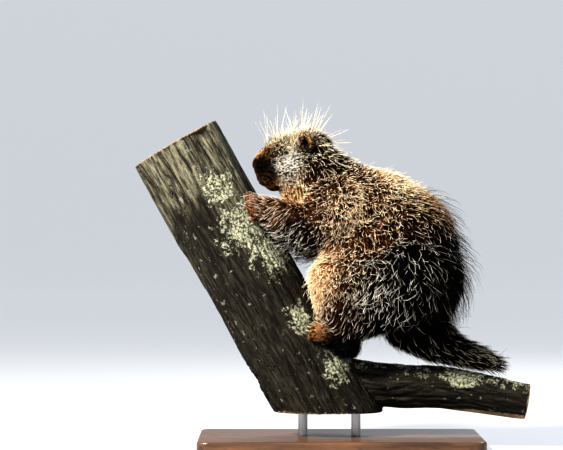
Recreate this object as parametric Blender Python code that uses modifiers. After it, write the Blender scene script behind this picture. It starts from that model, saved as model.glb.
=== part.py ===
"""North American porcupine climbing a cut limb, life size, on a plain display stand.

Metres, +Z up. The animal faces -X, and its left side is towards -Y. The origin is the middle of the
underside of the stand's base. The body is fused from tapered masses, one for each group of muscles,
and is then parted into named pieces by thin cuts. Each piece carries its own bristly coat.
"""

import math
import random

import bmesh
import bpy
from mathutils import Matrix, Vector
from mathutils.bvhtree import BVHTree

# ------------------------------------------------------------------ driving dimensions
GAP = 0.0003  # clearance between touching solids
FAT = 0.00045  # growth of a cutter, so that the gap holds between facets
CORE_SHARE = 0.42  # how much of the coat's depth the solid core fills
SEED = 11

BASE_SIZE = Vector((0.48, 0.30, 0.020))
BASE_CORNER = 0.020
ROD_RADIUS = 0.008
ROD_SPACING = 0.090

LIMB_RADIUS = 0.080
LIMB_LEAN = math.radians(60)  # above the floor
LIMB_GRIP = Vector((-0.200, 0, 0.375))  # on the limb's axis, level with the forepaws
LIMB_ABOVE = 0.162  # length above the grip
LIMB_FOOT_Z = 0.060  # the limb's lower end is sawn level here
LIMB_SIDES = 18

HEAD_AT = Vector((-0.056, 0, 0.517))  # between the ears
HEAD_PITCH = math.radians(21)  # the line from ears to nose, below level
EYE = (0.056, 0.000)  # forward and up from HEAD_AT
EYE_RADIUS = 0.0055
EYE_SINK = 0.0030  # how deep the ball's middle lies under the skin
EAR = Vector((0.0026, 0.0365, 0.0005))
EAR_RADII = Vector((0.010, 0.0130, 0.0148))
EAR_WALL = 0.0022
EAR_OPENING = math.radians(58)  # from straight forwards, outwards
NOSTRIL_SPACING = 0.0105
MOUTH_FROM = (0.072, -0.0315)  # forward and up of the middle of the mouth's plane
MOUTH_SAG = 0.096  # how much lower the mouth runs at the sides
MOUTH_DEPTH = 0.0014

# ------------------------------------------------------------------ masses of the body
# name: (end A, radius A, end B, radius B, breadth, coat depth). The coat lies from A to B.
# Ends are (x, y, z) at rest; a mass on the middle plane has y 0 and may be broader than deep.
TRUNK = {
    "neck": ((-0.070, 0, 0.484), 0.034, (-0.020, 0, 0.446), 0.044, 1.00, 0.018),
    "throat": ((-0.076, 0, 0.446), 0.027, (-0.030, 0, 0.420), 0.040, 1.00, 0.012),
    "chest": ((-0.010, 0, 0.420), 0.056, (0.055, 0, 0.378), 0.072, 0.96, 0.024),
    "back": ((0.055, 0, 0.378), 0.073, (0.102, 0, 0.345), 0.075, 1.08, 0.027),
    "rump": ((0.102, 0, 0.345), 0.075, (0.124, 0, 0.285), 0.068, 1.14, 0.030),
    "seat": ((0.122, 0, 0.290), 0.062, (0.128, 0, 0.245), 0.048, 1.15, 0.026),
    "belly": ((0.040, 0, 0.345), 0.062, (0.085, 0, 0.270), 0.060, 1.08, 0.014),
}
TAIL = {
    "dock": ((0.118, 0, 0.214), 0.036, (0.180, 0, 0.170), 0.018, 1.30, 0.015),
    "tail": ((0.180, 0, 0.170), 0.018, (0.252, 0, 0.146), 0.008, 1.45, 0.013),
}
FORELEG = {
    "shoulder": ((-0.006, 0.040, 0.402), 0.045, (-0.050, 0.060, 0.372), 0.028, 1.0, 0.016),
    "forearm": ((-0.050, 0.060, 0.372), 0.026, (-0.116, 0.057, 0.398), 0.018, 1.0, 0.011),
}
HINDLEG = {
    "thigh": ((0.100, 0.050, 0.292), 0.060, (-0.006, 0.066, 0.283), 0.037, 1.0, 0.018),
    "fold": ((0.066, 0.050, 0.345), 0.044, (0.006, 0.060, 0.328), 0.030, 1.0, 0.018),
    "calf": ((0.100, 0.048, 0.272), 0.052, (0.024, 0.056, 0.230), 0.030, 1.0, 0.016),
    "shank": ((-0.006, 0.066, 0.276), 0.034, (0.000, 0.058, 0.202), 0.024, 1.0, 0.011),
}
# (centre forward, outward, up), (radii forward, sideways, up), coat depth; from HEAD_AT
HEAD = {
    "cranium": ((0.010, 0, -0.014), (0.038, 0.033, 0.029), 0.015),
    "brow": ((0.046, 0, -0.013), (0.034, 0.027, 0.029), 0.011),
    "bridge": ((0.064, 0, -0.012), (0.030, 0.021, 0.027), 0.005),
    "muzzle": ((0.076, 0, -0.013), (0.023, 0.019, 0.025), 0.003),
    "nose": ((0.0885, 0, -0.004), (0.0105, 0.012, 0.010), 0.001),
    "lips": ((0.084, 0, -0.028), (0.016, 0.0155, 0.016), 0.002),
    "chin": ((0.076, 0, -0.042), (0.015, 0.013, 0.013), 0.002),
    "cheeks": ((0.042, 0, -0.036), (0.032, 0.031, 0.025), 0.009),
}

# ------------------------------------------------------------------ colours
FUR = {
    "head": (0.30, 0.20, 0.12),
    "neck": (0.16, 0.11, 0.07),
    "torso": (0.22, 0.13, 0.08),
    "tail": (0.06, 0.05, 0.04),
    "leg": (0.36, 0.20, 0.10),
    "paw": (0.24, 0.12, 0.06),
    "ear": (0.20, 0.11, 0.07),
}
EYE_COLOUR = (0.01, 0.008, 0.006)
BARK_COLOUR = (0.22, 0.20, 0.16)
BASE_COLOUR = (0.10, 0.08, 0.065)
ROD_COLOUR = (0.35, 0.35, 0.36)


# ------------------------------------------------------------------ scene and mesh helpers
def clear_scene():
    for old in list(bpy.data.objects):
        bpy.data.objects.remove(old)


def new_collection(name):
    group = bpy.data.collections.new(name)
    bpy.context.scene.collection.children.link(group)
    return group


def material(name, colour, roughness, metallic=0.0):
    finish = bpy.data.materials.new(name)
    finish.use_nodes = True
    shader = finish.node_tree.nodes["Principled BSDF"]
    shader.inputs["Base Color"].default_value = (*colour, 1.0)
    shader.inputs["Roughness"].default_value = roughness
    shader.inputs["Metallic"].default_value = metallic
    return finish


def object_from(name, bm, group):
    mesh = bpy.data.meshes.new(name)
    bmesh.ops.recalc_face_normals(bm, faces=bm.faces)
    bm.to_mesh(mesh)
    bm.free()
    made = bpy.data.objects.new(name, mesh)
    group.objects.link(made)
    return made


def settle(made):
    """Applies every modifier of an object."""
    graph = bpy.context.evaluated_depsgraph_get()
    mesh = bpy.data.meshes.new_from_object(made.evaluated_get(graph))
    made.modifiers.clear()
    made.data = mesh
    return made


def tree_of(made):
    bm = bmesh.new()
    bm.from_mesh(made.data)
    tree = BVHTree.FromBMesh(bm)
    bm.free()
    return tree


def hull_of_balls(bm, balls, breadth=1.0, detail=2):
    """Adds the hull of balls, each (centre, radius), stretched sideways by breadth."""
    piece = bmesh.new()
    for centre, radius in balls:
        place = Matrix.Translation(centre) @ Matrix.Diagonal((1, breadth, 1, 1))
        bmesh.ops.create_icosphere(piece, subdivisions=detail, radius=radius, matrix=place)
    bmesh.ops.delete(piece, geom=piece.faces[:], context="FACES_ONLY")
    found = bmesh.ops.convex_hull(piece, input=piece.verts[:])
    bmesh.ops.delete(piece, geom=found["geom_interior"], context="VERTS")
    bmesh.ops.delete(piece, geom=[edge for edge in piece.edges if not edge.link_faces], context="EDGES")
    hull = bpy.data.meshes.new("hull")
    piece.to_mesh(hull)
    piece.free()
    bm.from_mesh(hull)
    bpy.data.meshes.remove(hull)


def tapered(bm, a, b, radius_a, radius_b, breadth=1.0, detail=2):
    hull_of_balls(bm, ((a, radius_a), (b, radius_b)), breadth, detail)


def boolean(made, other, operation, solver="EXACT"):
    cut = made.modifiers.new(operation.title(), "BOOLEAN")
    cut.operation = operation
    cut.solver = solver
    cut.object = other
    return settle(made)


def keep_largest(made):
    """Drops every closed surface of the mesh but the one that holds most."""
    bm = bmesh.new()
    bm.from_mesh(made.data)
    bm.verts.ensure_lookup_table()
    unseen, shells = set(bm.verts), []
    while unseen:
        start = unseen.pop()
        shell, front = {start}, [start]
        while front:
            for edge in front.pop().link_edges:
                for vert in edge.verts:
                    if vert in unseen:
                        unseen.discard(vert)
                        shell.add(vert)
                        front.append(vert)
        shells.append(shell)

    def reach(shell):
        low = [min(v.co[i] for v in shell) for i in range(3)]
        high = [max(v.co[i] for v in shell) for i in range(3)]
        return math.prod(high[i] - low[i] for i in range(3))

    shells.sort(key=reach)
    loose = [vert for shell in shells[:-1] for vert in shell]
    bmesh.ops.delete(bm, geom=loose, context="VERTS")
    bm.to_mesh(made.data)
    bm.free()


def copy_of(made, name, group, grow=0.0):
    """A copy of an object, with its faces moved outwards by grow."""
    double = bpy.data.objects.new(name, made.data.copy())
    group.objects.link(double)
    if grow:
        bm = bmesh.new()
        bm.from_mesh(double.data)
        bm.normal_update()
        moves = [(vert, vert.normal * grow * min(vert.calc_shell_factor(), 2.0)) for vert in bm.verts]
        for vert, move in moves:
            vert.co += move
        bm.to_mesh(double.data)
        bm.free()
    return double


def triangulate(made):
    bm = bmesh.new()
    bm.from_mesh(made.data)
    bmesh.ops.triangulate(bm, faces=bm.faces)
    bmesh.ops.recalc_face_normals(bm, faces=bm.faces)
    bm.to_mesh(made.data)
    bm.free()


def fused(name, group, build, voxel, rounds, triangles):
    """One smooth skin over the overlapping closed pieces that build() adds to a mesh."""
    bm = bmesh.new()
    build(bm)
    made = object_from(name, bm, group)
    skin = made.modifiers.new("Skin", "REMESH")
    skin.mode = "VOXEL"
    skin.voxel_size = voxel
    blend = made.modifiers.new("Blend", "SMOOTH")
    blend.factor = 0.5
    blend.iterations = rounds
    settle(made)
    thin = made.modifiers.new("Thin", "DECIMATE")
    thin.ratio = triangles / (2 * len(made.data.polygons))
    settle(made)
    triangulate(made)
    keep_largest(made)
    return made


def half_space(name, group, point, direction, reach=0.30):
    """A large box whose face passes through point, and which lies on the side that direction points to."""
    bm = bmesh.new()
    turn = direction.normalized().to_track_quat("Z", "Y").to_matrix().to_4x4()
    place = Matrix.Translation(point) @ turn @ Matrix.Translation((0, 0, reach / 2))
    bmesh.ops.create_cube(bm, size=reach, matrix=place)
    return object_from(name, bm, group)


# ------------------------------------------------------------------ stand and limb
LIMB_DOWN = Vector((math.cos(LIMB_LEAN), 0, -math.sin(LIMB_LEAN)))
LIMB_OUT = Vector((math.sin(LIMB_LEAN), 0, math.cos(LIMB_LEAN)))
LIMB_FOOT = (LIMB_GRIP.z - LIMB_FOOT_Z) / math.sin(LIMB_LEAN)


def limb_point(along, around, height, side):
    """A point over the bark: metres down the limb from the grip, degrees round from its upper line."""
    turn = math.radians(around)
    spoke = math.cos(turn) * LIMB_OUT + Vector((0, side * math.sin(turn), 0))
    return LIMB_GRIP + along * LIMB_DOWN + (LIMB_RADIUS + height) * spoke


def build_base(group):
    bm = bmesh.new()
    bmesh.ops.create_cube(bm, size=1.0)
    bmesh.ops.scale(bm, vec=BASE_SIZE, verts=bm.verts)
    bmesh.ops.translate(bm, vec=(0, 0, BASE_SIZE.z / 2), verts=bm.verts)
    upright = [e for e in bm.edges if abs(e.verts[0].co.z - e.verts[1].co.z) > BASE_SIZE.z / 2]
    bmesh.ops.bevel(bm, geom=upright, offset=BASE_CORNER, segments=4, profile=0.5, affect="EDGES")
    base = object_from("stand_base", bm, group)
    base.data.materials.append(material("base_board", BASE_COLOUR, 0.45))
    return base


def build_rods(group):
    finish = material("steel_rod", ROD_COLOUR, 0.35, 1.0)
    middle = LIMB_GRIP.x + LIMB_FOOT * LIMB_DOWN.x
    low, high = BASE_SIZE.z + GAP, LIMB_FOOT_Z - GAP
    for number, offset in enumerate((-0.5, 0.5), start=1):
        bm = bmesh.new()
        place = Matrix.Translation((middle + offset * ROD_SPACING, 0, (low + high) / 2))
        bmesh.ops.create_cone(
            bm, cap_ends=True, segments=16, radius1=ROD_RADIUS, radius2=ROD_RADIUS, depth=high - low, matrix=place
        )
        object_from(f"stand_rod_{number}", bm, group).data.materials.append(finish)


def bark_swell(turn, along):
    """How far the bark stands out at an angle and a place along the limb."""
    return 0.0022 * math.sin(3 * turn + 9 * along) + 0.0014 * math.sin(5 * turn - 14 * along)


def build_limb(group, tools):
    length = LIMB_ABOVE + LIMB_FOOT + 0.08
    bm = bmesh.new()
    bmesh.ops.create_cone(bm, cap_ends=True, segments=LIMB_SIDES, radius1=LIMB_RADIUS,
                          radius2=LIMB_RADIUS, depth=length)
    for level in range(1, 7):
        cut = (0, 0, length * (level / 7 - 0.5))
        bmesh.ops.bisect_plane(bm, geom=bm.verts[:] + bm.edges[:] + bm.faces[:], plane_co=cut, plane_no=(0, 0, 1))
    for vert in bm.verts:
        turn = math.atan2(vert.co.y, vert.co.x)
        vert.co += Vector((math.cos(turn), math.sin(turn), 0)) * bark_swell(turn, vert.co.z)
    turn = LIMB_DOWN.to_track_quat("Z", "Y").to_matrix().to_4x4()
    middle = LIMB_GRIP + LIMB_DOWN * (length / 2 - LIMB_ABOVE)
    bmesh.ops.transform(bm, matrix=Matrix.Translation(middle) @ turn, verts=bm.verts)
    limb = object_from("perch_limb", bm, group)

    saw = half_space("saw", tools, Vector((0, 0, LIMB_FOOT_Z)), Vector((0, 0, -1)), reach=0.9)
    boolean(limb, saw, "DIFFERENCE")
    bpy.data.objects.remove(saw)
    fork = side_limb(tools)
    boolean(limb, fork, "UNION")
    bpy.data.objects.remove(fork)
    triangulate(limb)
    keep_largest(limb)
    limb.data.materials.clear()
    limb.data.materials.append(material("bark", BARK_COLOUR, 0.9))
    return limb


SIDE_LIMB = (  # the lower fork, under the tail: (x, z), radius
    ((-0.030, 0.112), 0.040),
    ((0.040, 0.110), 0.039),
    ((0.102, 0.104), 0.038),
    ((0.170, 0.102), 0.036),
    ((0.221, 0.094), 0.034),
    ((0.268, 0.086), 0.033),
    ((0.318, 0.078), 0.031),
)


def side_limb(tools):
    curve = bpy.data.curves.new("fork", "CURVE")
    curve.dimensions = "3D"
    curve.bevel_depth = 1.0
    curve.bevel_resolution = 2
    curve.use_fill_caps = True
    spline = curve.splines.new("POLY")
    spline.points.add(len(SIDE_LIMB) - 1)
    for point, ((x, z), radius) in zip(spline.points, SIDE_LIMB):
        point.co = (x, 0, z, 1)
        point.radius = radius
    line = bpy.data.objects.new("fork_line", curve)
    tools.objects.link(line)
    graph = bpy.context.evaluated_depsgraph_get()
    bm = bmesh.new()
    bm.from_mesh(bpy.data.meshes.new_from_object(line.evaluated_get(graph)))
    bmesh.ops.remove_doubles(bm, verts=bm.verts, dist=0.0001)
    bpy.data.objects.remove(line)
    return object_from("fork", bm, tools)


# ------------------------------------------------------------------ limbs of the animal
SIDES = {"left": -1, "right": 1}
# how far each right limb is set down the perch from its left partner
SETBACK = {("fore", "right"): 0.016, ("hind", "right"): 0.012, ("fore", "left"): 0.0, ("hind", "left"): 0.0}


def mirrored(point, side, shift=0.0):
    x, y, z = point
    return Vector((x, y * side, z)) + shift * LIMB_DOWN


def leg_masses(which, side_name):
    """The masses of one leg in place. The lower end of each moves down the perch with its foot."""
    side, shift = SIDES[side_name], SETBACK[(which, side_name)]
    made = {}
    for name, (a, ra, b, rb, breadth, coat) in (FORELEG if which == "fore" else HINDLEG).items():
        low_a = shift if name in ("forearm", "shank") else 0.0
        made[name] = (mirrored(a, side, low_a * 0.5), ra, mirrored(b, side, shift), rb, breadth, coat)
    return made


def body_masses():
    made = {**TRUNK, **TAIL}
    for which, side_name in SETBACK:
        for name, mass in leg_masses(which, side_name).items():
            made[f"{name}_{side_name}"] = mass
    return {name: (Vector(a), ra, Vector(b), rb, w, coat) for name, (a, ra, b, rb, w, coat) in made.items()}


def build_body(tools):
    def pieces(bm):
        for a, ra, b, rb, breadth, coat in body_masses().values():
            tapered(bm, a, b, ra + CORE_SHARE * coat, rb + CORE_SHARE * coat, breadth, detail=3)

    return fused("body", tools, pieces, voxel=0.0045, rounds=8, triangles=2200)


HEAD_TURN = Matrix(
    (
        (-math.cos(HEAD_PITCH), 0, -math.sin(HEAD_PITCH)),
        (0, -1, 0),
        (-math.sin(HEAD_PITCH), 0, math.cos(HEAD_PITCH)),
    )
)


def head_point(forward, outward, up, side=1):
    """A place on the head in the world; side +1 is the animal's left."""
    return HEAD_AT + HEAD_TURN @ Vector((forward, outward * side, up))


def head_place(point, radii=(1, 1, 1)):
    return Matrix.Translation(head_point(*point)) @ HEAD_TURN.to_4x4() @ Matrix.Diagonal((*radii, 1))


def build_skull(tools):
    def pieces(bm):
        for centre, radii, coat in HEAD.values():
            grown = [radius + CORE_SHARE * coat for radius in radii]
            bmesh.ops.create_icosphere(bm, subdivisions=4, radius=1.0, matrix=head_place(centre, grown))
        for name in ("neck", "throat"):
            a, ra, b, rb, breadth, coat = TRUNK[name]
            tapered(bm, Vector(a), Vector(b), ra + CORE_SHARE * coat, rb + CORE_SHARE * coat, breadth, detail=4)

    return fused("skull", tools, pieces, voxel=0.0018, rounds=10, triangles=1500)


# ------------------------------------------------------------------ paws
# places on the perch: (metres down it from the grip, degrees round it, height over the bark), radius
PAW = {
    "fore": {
        "cuff": ((0.022, 34, 0.0215), 0.0175),
        "heel": ((0.009, 38, 0.0130), 0.0150),
        "ball": ((-0.001, 45, 0.0100), 0.0140),
        "toes": 4,
        "spread": 0.036,
        "toe": ((-0.004, 46, 0.0065), 0.0058),
        "claw": ((-0.008, 53.5, 0.0010), 0.0026),
    },
    "hind": {
        "cuff": ((0.254, 35, 0.0230), 0.0215),
        "heel": ((0.274, 33, 0.0150), 0.0160),
        "ball": ((0.240, 46, 0.0110), 0.0150),
        "toes": 5,
        "toe": ((0.226, 52, 0.0065), 0.0062),
        "claw": ((0.213, 57.0, 0.0010), 0.0028),
    },
}
WRIST = {"fore": Vector((-0.103, 0.0575, 0.3935)), "hind": Vector((0.000, 0.058, 0.203))}
WRIST_WAY = {"fore": Vector((-0.92, 0.0, 0.36)), "hind": Vector((0.10, 0.0, -1.0))}


def toe_places(which, side_name, what):
    """The places of all of a paw's toes or claws, spread along the perch."""
    side, shift = SIDES[side_name], SETBACK[(which, side_name)]
    paw = PAW[which]
    (along, around, height), radius = paw[what]
    places = []
    for number in range(paw["toes"]):
        share = number / (paw["toes"] - 1) - 0.5
        if which == "hind":  # the hind toes point up the perch and fan round it
            down, turn = along + 0.024 * share * share, around - 16.5 * share
        else:
            down, turn = along + share * paw["spread"], around + 10.0 * share
        places.append(limb_point(down + shift, turn, height, side))
    return places, radius


def build_paw(which, side_name, tools):
    side, shift = SIDES[side_name], SETBACK[(which, side_name)]
    paw = PAW[which]

    def place(name):
        (along, around, height), radius = paw[name]
        return limb_point(along + shift, around, height, side), radius

    def pieces(bm):
        cuff, heel, ball = place("cuff"), place("heel"), place("ball")
        above = (cuff[0] - 0.02 * WRIST_WAY[which], cuff[1])
        hull_of_balls(bm, (above, cuff))
        hull_of_balls(bm, (cuff, heel))
        hull_of_balls(bm, (heel, ball))
        toes, toe_radius = toe_places(which, side_name, "toe")
        for toe in toes:
            knuckle = ball[0].lerp(toe, 0.45)
            hull_of_balls(bm, ((knuckle, toe_radius * 1.35), (toe, toe_radius)))

    name = f"{which}paw_{side_name}"
    return fused(name, tools, pieces, voxel=0.0016, rounds=2, triangles=230)


def claws_of(which, side_name):
    """One curved, pointed blade for each toe."""
    side = SIDES[side_name]
    toes, _ = toe_places(which, side_name, "toe")
    tips, radius = toe_places(which, side_name, "claw")
    blades = []
    for toe, tip in zip(toes, tips):
        away = (tip - toe).normalized()
        out = (toe - LIMB_GRIP - (toe - LIMB_GRIP).dot(LIMB_DOWN) * LIMB_DOWN).normalized()
        path = [toe - away * 0.004, toe.lerp(tip, 0.25), toe.lerp(tip, 0.62) + out * 0.0022, tip]
        across = away.cross(out).normalized() * side
        blades.append(blade(path, across, (2 * radius, 1.5 * radius), (1.6 * radius, 1.3 * radius)))
    return blades


# ------------------------------------------------------------------ blades: locks, quills, hairs and claws
def blade(path, across, widths, heights):
    """(points, faces) of a closed spindle, pointed at both ends of its path, flat below and ridged on its back.

    It has a three-sided ring of the given width and height at each point of the path between its ends.
    """
    points, faces = [path[0]], []
    for place, after, width, height in zip(path[1:], path[2:], widths, heights):
        up = across.cross(after - place).normalized()
        points += [place - across * width / 2 - up * height * 0.3, place + across * width / 2 - up * height * 0.3]
        points.append(place + up * height * 0.7)
    points.append(path[-1])
    rings, tip = len(widths), len(points) - 1
    for corner in range(3):
        following = (corner + 1) % 3
        faces.append((0, 1 + corner, 1 + following))
        for ring in range(rings - 1):
            a, b = 1 + 3 * ring + corner, 1 + 3 * ring + following
            faces += [(a, a + 3, b), (b, a + 3, b + 3)]
        faces.append((3 * rings - 2 + corner, tip, 3 * rings - 2 + following))
    return points, faces


def add_blades(made, blades):
    """Fuses blades with the object that they grow from."""
    if not blades:
        return
    group = new_collection("blades")
    for number, (points, faces) in enumerate(blades):
        mesh = bpy.data.meshes.new(f"blade_{number}")
        mesh.from_pydata([tuple(point) for point in points], [], faces)
        bm = bmesh.new()
        bm.from_mesh(mesh)
        bmesh.ops.recalc_face_normals(bm, faces=bm.faces)
        bm.to_mesh(mesh)
        bm.free()
        group.objects.link(bpy.data.objects.new(f"blade_{number}", mesh))
    join = made.modifiers.new("Join", "BOOLEAN")
    join.operation = "UNION"
    join.operand_type = "COLLECTION"
    join.collection = group
    join.solver = "MANIFOLD"
    settle(made)
    for spare in list(group.objects):
        bpy.data.objects.remove(spare)
    bpy.data.collections.remove(group)
    keep_largest(made)


# ------------------------------------------------------------------ parting the body
CUTS = {  # (a point on the cut, the way to the piece that it parts off)
    "head": (Vector((-0.064, 0, 0.484)), Vector((-0.892, 0, 0.453))),
    "neck": (Vector((-0.020, 0, 0.467)), Vector((-0.806, 0, 0.592))),
    "tail": (Vector((0.145, 0, 0.200)), Vector((0.700, 0, -0.714))),
}
LEG_REGION = {  # balls whose hull parts a leg from the body
    "fore": (((-0.010, 0.085, 0.398), 0.057), ((-0.052, 0.078, 0.366), 0.056), ((-0.120, 0.060, 0.396), 0.042)),
    "hind": (((0.085, 0.105, 0.287), 0.081), ((-0.012, 0.078, 0.280), 0.058), ((0.010, 0.060, 0.195), 0.052)),
}


def part_off(whole, name, region, wide_region, group):
    """Moves what lies in region from whole to a new object, and leaves the gap between them."""
    piece = copy_of(whole, name, group)
    boolean(piece, region, "INTERSECT")
    keep_largest(piece)
    boolean(whole, wide_region, "DIFFERENCE")
    keep_largest(whole)
    bpy.data.objects.remove(region)
    bpy.data.objects.remove(wide_region)
    return piece


def part_off_beyond(whole, name, group, tools, reach=0.30):
    point, way = CUTS[name]
    way = way.normalized()
    region = half_space("near", tools, point + way * GAP, way, reach)
    return part_off(whole, name, region, half_space("far", tools, point, way, reach), group)


def leg_region(which, side_name, grow, tools):
    side, shift = SIDES[side_name], SETBACK[(which, side_name)]
    bm = bmesh.new()
    balls = [
        (mirrored(centre, side, shift * step / 2), 1.1 * radius + grow)
        for step, (centre, radius) in enumerate(LEG_REGION[which])
    ]
    hull_of_balls(bm, balls, detail=1)
    return object_from("leg_region", bm, tools)


def paint(made, name, colour, roughness=0.9):
    made.data.materials.clear()
    made.data.materials.append(material(name, colour, roughness))


def subtract(made, other):
    boolean(made, other, "DIFFERENCE")
    keep_largest(made)


# ------------------------------------------------------------------ head
def ear_cup(side_name, parts, neighbours, tools):
    """A rounded cup, open forwards and outwards."""
    side = -SIDES[side_name]
    bm = bmesh.new()
    bmesh.ops.create_uvsphere(bm, u_segments=10, v_segments=6, radius=1.0)
    bmesh.ops.bisect_plane(
        bm, geom=bm.verts[:] + bm.edges[:] + bm.faces[:], plane_co=(0.25, 0, 0), plane_no=(1, 0, 0), clear_outer=True
    )
    bmesh.ops.scale(bm, vec=EAR_RADII, verts=bm.verts)
    turn = Matrix.Rotation(EAR_OPENING, 4, "Z") @ Matrix.Rotation(math.radians(-14), 4, "X")
    flip = Matrix.Diagonal((1, side, 1, 1))
    place = Matrix.Translation(HEAD_AT) @ HEAD_TURN.to_4x4() @ flip @ Matrix.Translation(EAR) @ turn
    bmesh.ops.transform(bm, matrix=place, verts=bm.verts)
    ear = object_from(f"ear_{side_name}", bm, parts)
    wall = ear.modifiers.new("Wall", "SOLIDIFY")
    wall.thickness = EAR_WALL
    wall.offset = -1
    settle(ear)
    for neighbour in neighbours:
        wide = copy_of(neighbour, "wide_neighbour", tools, grow=FAT)
        subtract(ear, wide)
        bpy.data.objects.remove(wide)
    paint(ear, f"ear_{side_name}", FUR["ear"])
    return ear


def eye_place(tree, outward):
    """(the middle of the eyeball, the way that it looks)"""
    way = (HEAD_TURN @ Vector((0.30, outward, 0.12))).normalized()
    skin = tree.ray_cast(head_point(EYE[0] - 0.006, 0, EYE[1] - 0.002), way)[0]
    return skin - way * EYE_SINK, way


def carve_face(skull, parts, tools):
    """Sockets with lids, nostrils and the line of the mouth."""
    tree = tree_of(skull)
    for side_name, side in SIDES.items():
        outward = -side
        centre, way = eye_place(tree, outward)
        place = Matrix.Translation(centre + way * 0.0026) @ way.to_track_quat("Z", "Y").to_matrix().to_4x4()
        lids = torus(place, EYE_RADIUS + 0.0002, 0.0019, tools)
        boolean(skull, lids, "UNION")
        bpy.data.objects.remove(lids)
        bm = bmesh.new()
        bmesh.ops.create_icosphere(bm, subdivisions=2, radius=EYE_RADIUS + 0.0007, matrix=Matrix.Translation(centre))
        socket = object_from("socket", bm, tools)
        subtract(skull, socket)
        bpy.data.objects.remove(socket)
        bm = bmesh.new()
        bmesh.ops.create_icosphere(bm, subdivisions=2, radius=EYE_RADIUS, matrix=Matrix.Translation(centre))
        eye = object_from(f"eye_{side_name}", bm, parts)
        paint(eye, f"eye_{side_name}", EYE_COLOUR, 0.08)
        nostril = bmesh.new()
        place = head_place((0.0985, NOSTRIL_SPACING / 2 * outward, -0.0055), (0.0042, 0.0022, 0.0030))
        bmesh.ops.create_icosphere(nostril, subdivisions=1, radius=1.0, matrix=place)
        hole = object_from("nostril", nostril, tools)
        subtract(skull, hole)
        bpy.data.objects.remove(hole)
    groove = mouth_groove(tree, tools)
    subtract(skull, groove)
    bpy.data.objects.remove(groove)


def torus(place, radius, thickness, tools, around=12, section=5):
    """A ring in the XY plane of place."""
    bm = bmesh.new()
    turned = Matrix.Translation((radius, 0, 0)) @ Matrix.Rotation(math.pi / 2, 4, "X")
    bmesh.ops.create_circle(bm, segments=section, radius=thickness, matrix=turned)
    bmesh.ops.spin(
        bm, geom=bm.verts[:] + bm.edges[:], axis=(0, 0, 1), cent=(0, 0, 0), angle=math.tau, steps=around, use_merge=True
    )
    bmesh.ops.remove_doubles(bm, verts=bm.verts, dist=0.00001)
    bmesh.ops.transform(bm, matrix=place, verts=bm.verts)
    return object_from("ring", bm, tools)


def mouth_groove(tree, tools):
    """A thin tube that follows the lips where they meet, from corner to corner."""
    points = []
    for step in range(-7, 8):
        turn = math.radians(step * 14.5)
        way = HEAD_TURN @ Vector((math.cos(turn), math.sin(turn), -MOUTH_SAG * math.sin(turn) ** 2))
        start = head_point(MOUTH_FROM[0], 0, MOUTH_FROM[1])
        hit = tree.ray_cast(start, way)[0]
        points.append(hit)
    curve = bpy.data.curves.new("lips", "CURVE")
    curve.dimensions = "3D"
    curve.bevel_depth = MOUTH_DEPTH
    curve.bevel_resolution = 0
    curve.use_fill_caps = True
    spline = curve.splines.new("POLY")
    spline.points.add(len(points) - 1)
    for target, point in zip(spline.points, points):
        target.co = (*point, 1)
    line = bpy.data.objects.new("lips_line", curve)
    tools.objects.link(line)
    graph = bpy.context.evaluated_depsgraph_get()
    bm = bmesh.new()
    bm.from_mesh(bpy.data.meshes.new_from_object(line.evaluated_get(graph)))
    bmesh.ops.remove_doubles(bm, verts=bm.verts, dist=0.00001)
    bpy.data.objects.remove(line)
    return object_from("lips_tube", bm, tools)


# ------------------------------------------------------------------ coat
DROOP = 0.55  # how far the weight of the hairs turns their lie downwards
DROOPS = {"forearm": 0.9, "dock": 0.0, "tail": 0.0, "thigh": 1.5, "fold": 2.4, "calf": 0.9}  # where it differs
LOCK_BENDS = (0.10, 0.56, 1.0)  # shares of a lock's length at its two rings and its tip
LOCK_RISE = (0.12, 0.80, 1.0)  # their height over the core, of what the core leaves of the coat's depth
LOCK_WIDTH = (0.64, 1.00)  # at its two rings
LOCK_THICKNESS = 0.18  # of its width
# length and spacing of a node's locks, in coat depths; width over length; least depth that grows one
LOCKS = {
    "torso": (2.75, 1.36, 0.44, 0.012),
    "neck": (2.70, 1.36, 0.45, 0.010),
    "head": (2.60, 1.72, 0.44, 0.0075),
    "tail": (2.70, 1.80, 0.44, 0.008),
    "leg": (2.75, 1.60, 0.48, 0.009),
}
# node: number, length, thickness, how far they lean back along the coat (0 upright, 1 flat)
HAIRS = {
    "head": (17, 0.060, 0.0019, 0.42),
    "neck": (6, 0.058, 0.0019, 0.55),
    "torso": (26, 0.066, 0.0021, 0.72),
    "tail": (10, 0.034, 0.0019, 0.78),
}
HAIR_ROOM = 0.028  # clear space over a place that grows a lock
HAIR_FACING = {"head": 0.35, "neck": 0.35, "torso": -0.25, "tail": -0.25}  # least upward part of the skin's normal


def flow_on_body(point, masses):
    """(the way that the coat lies, its depth) at a point, blended from the masses near it."""
    way, depth, total = Vector(), 0.0, 0.0
    for name, (a, ra, b, rb, breadth, coat) in masses.items():
        line = b - a
        flat = Vector((point.x, a.y + (point.y - a.y) / breadth, point.z))
        share = max(0.0, min(1.0, (flat - a).dot(line) / line.length_squared))
        distance = max(0.0, (flat - a.lerp(b, share)).length - ra - share * (rb - ra) - coat)
        weight = math.exp(-distance / 0.008)
        droop = DROOPS.get(name.partition("_")[0], DROOP)
        way += weight * (line.normalized() + Vector((0, 0, -droop))).normalized()
        depth += weight * coat
        total += weight
    return way / total, depth / total


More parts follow.
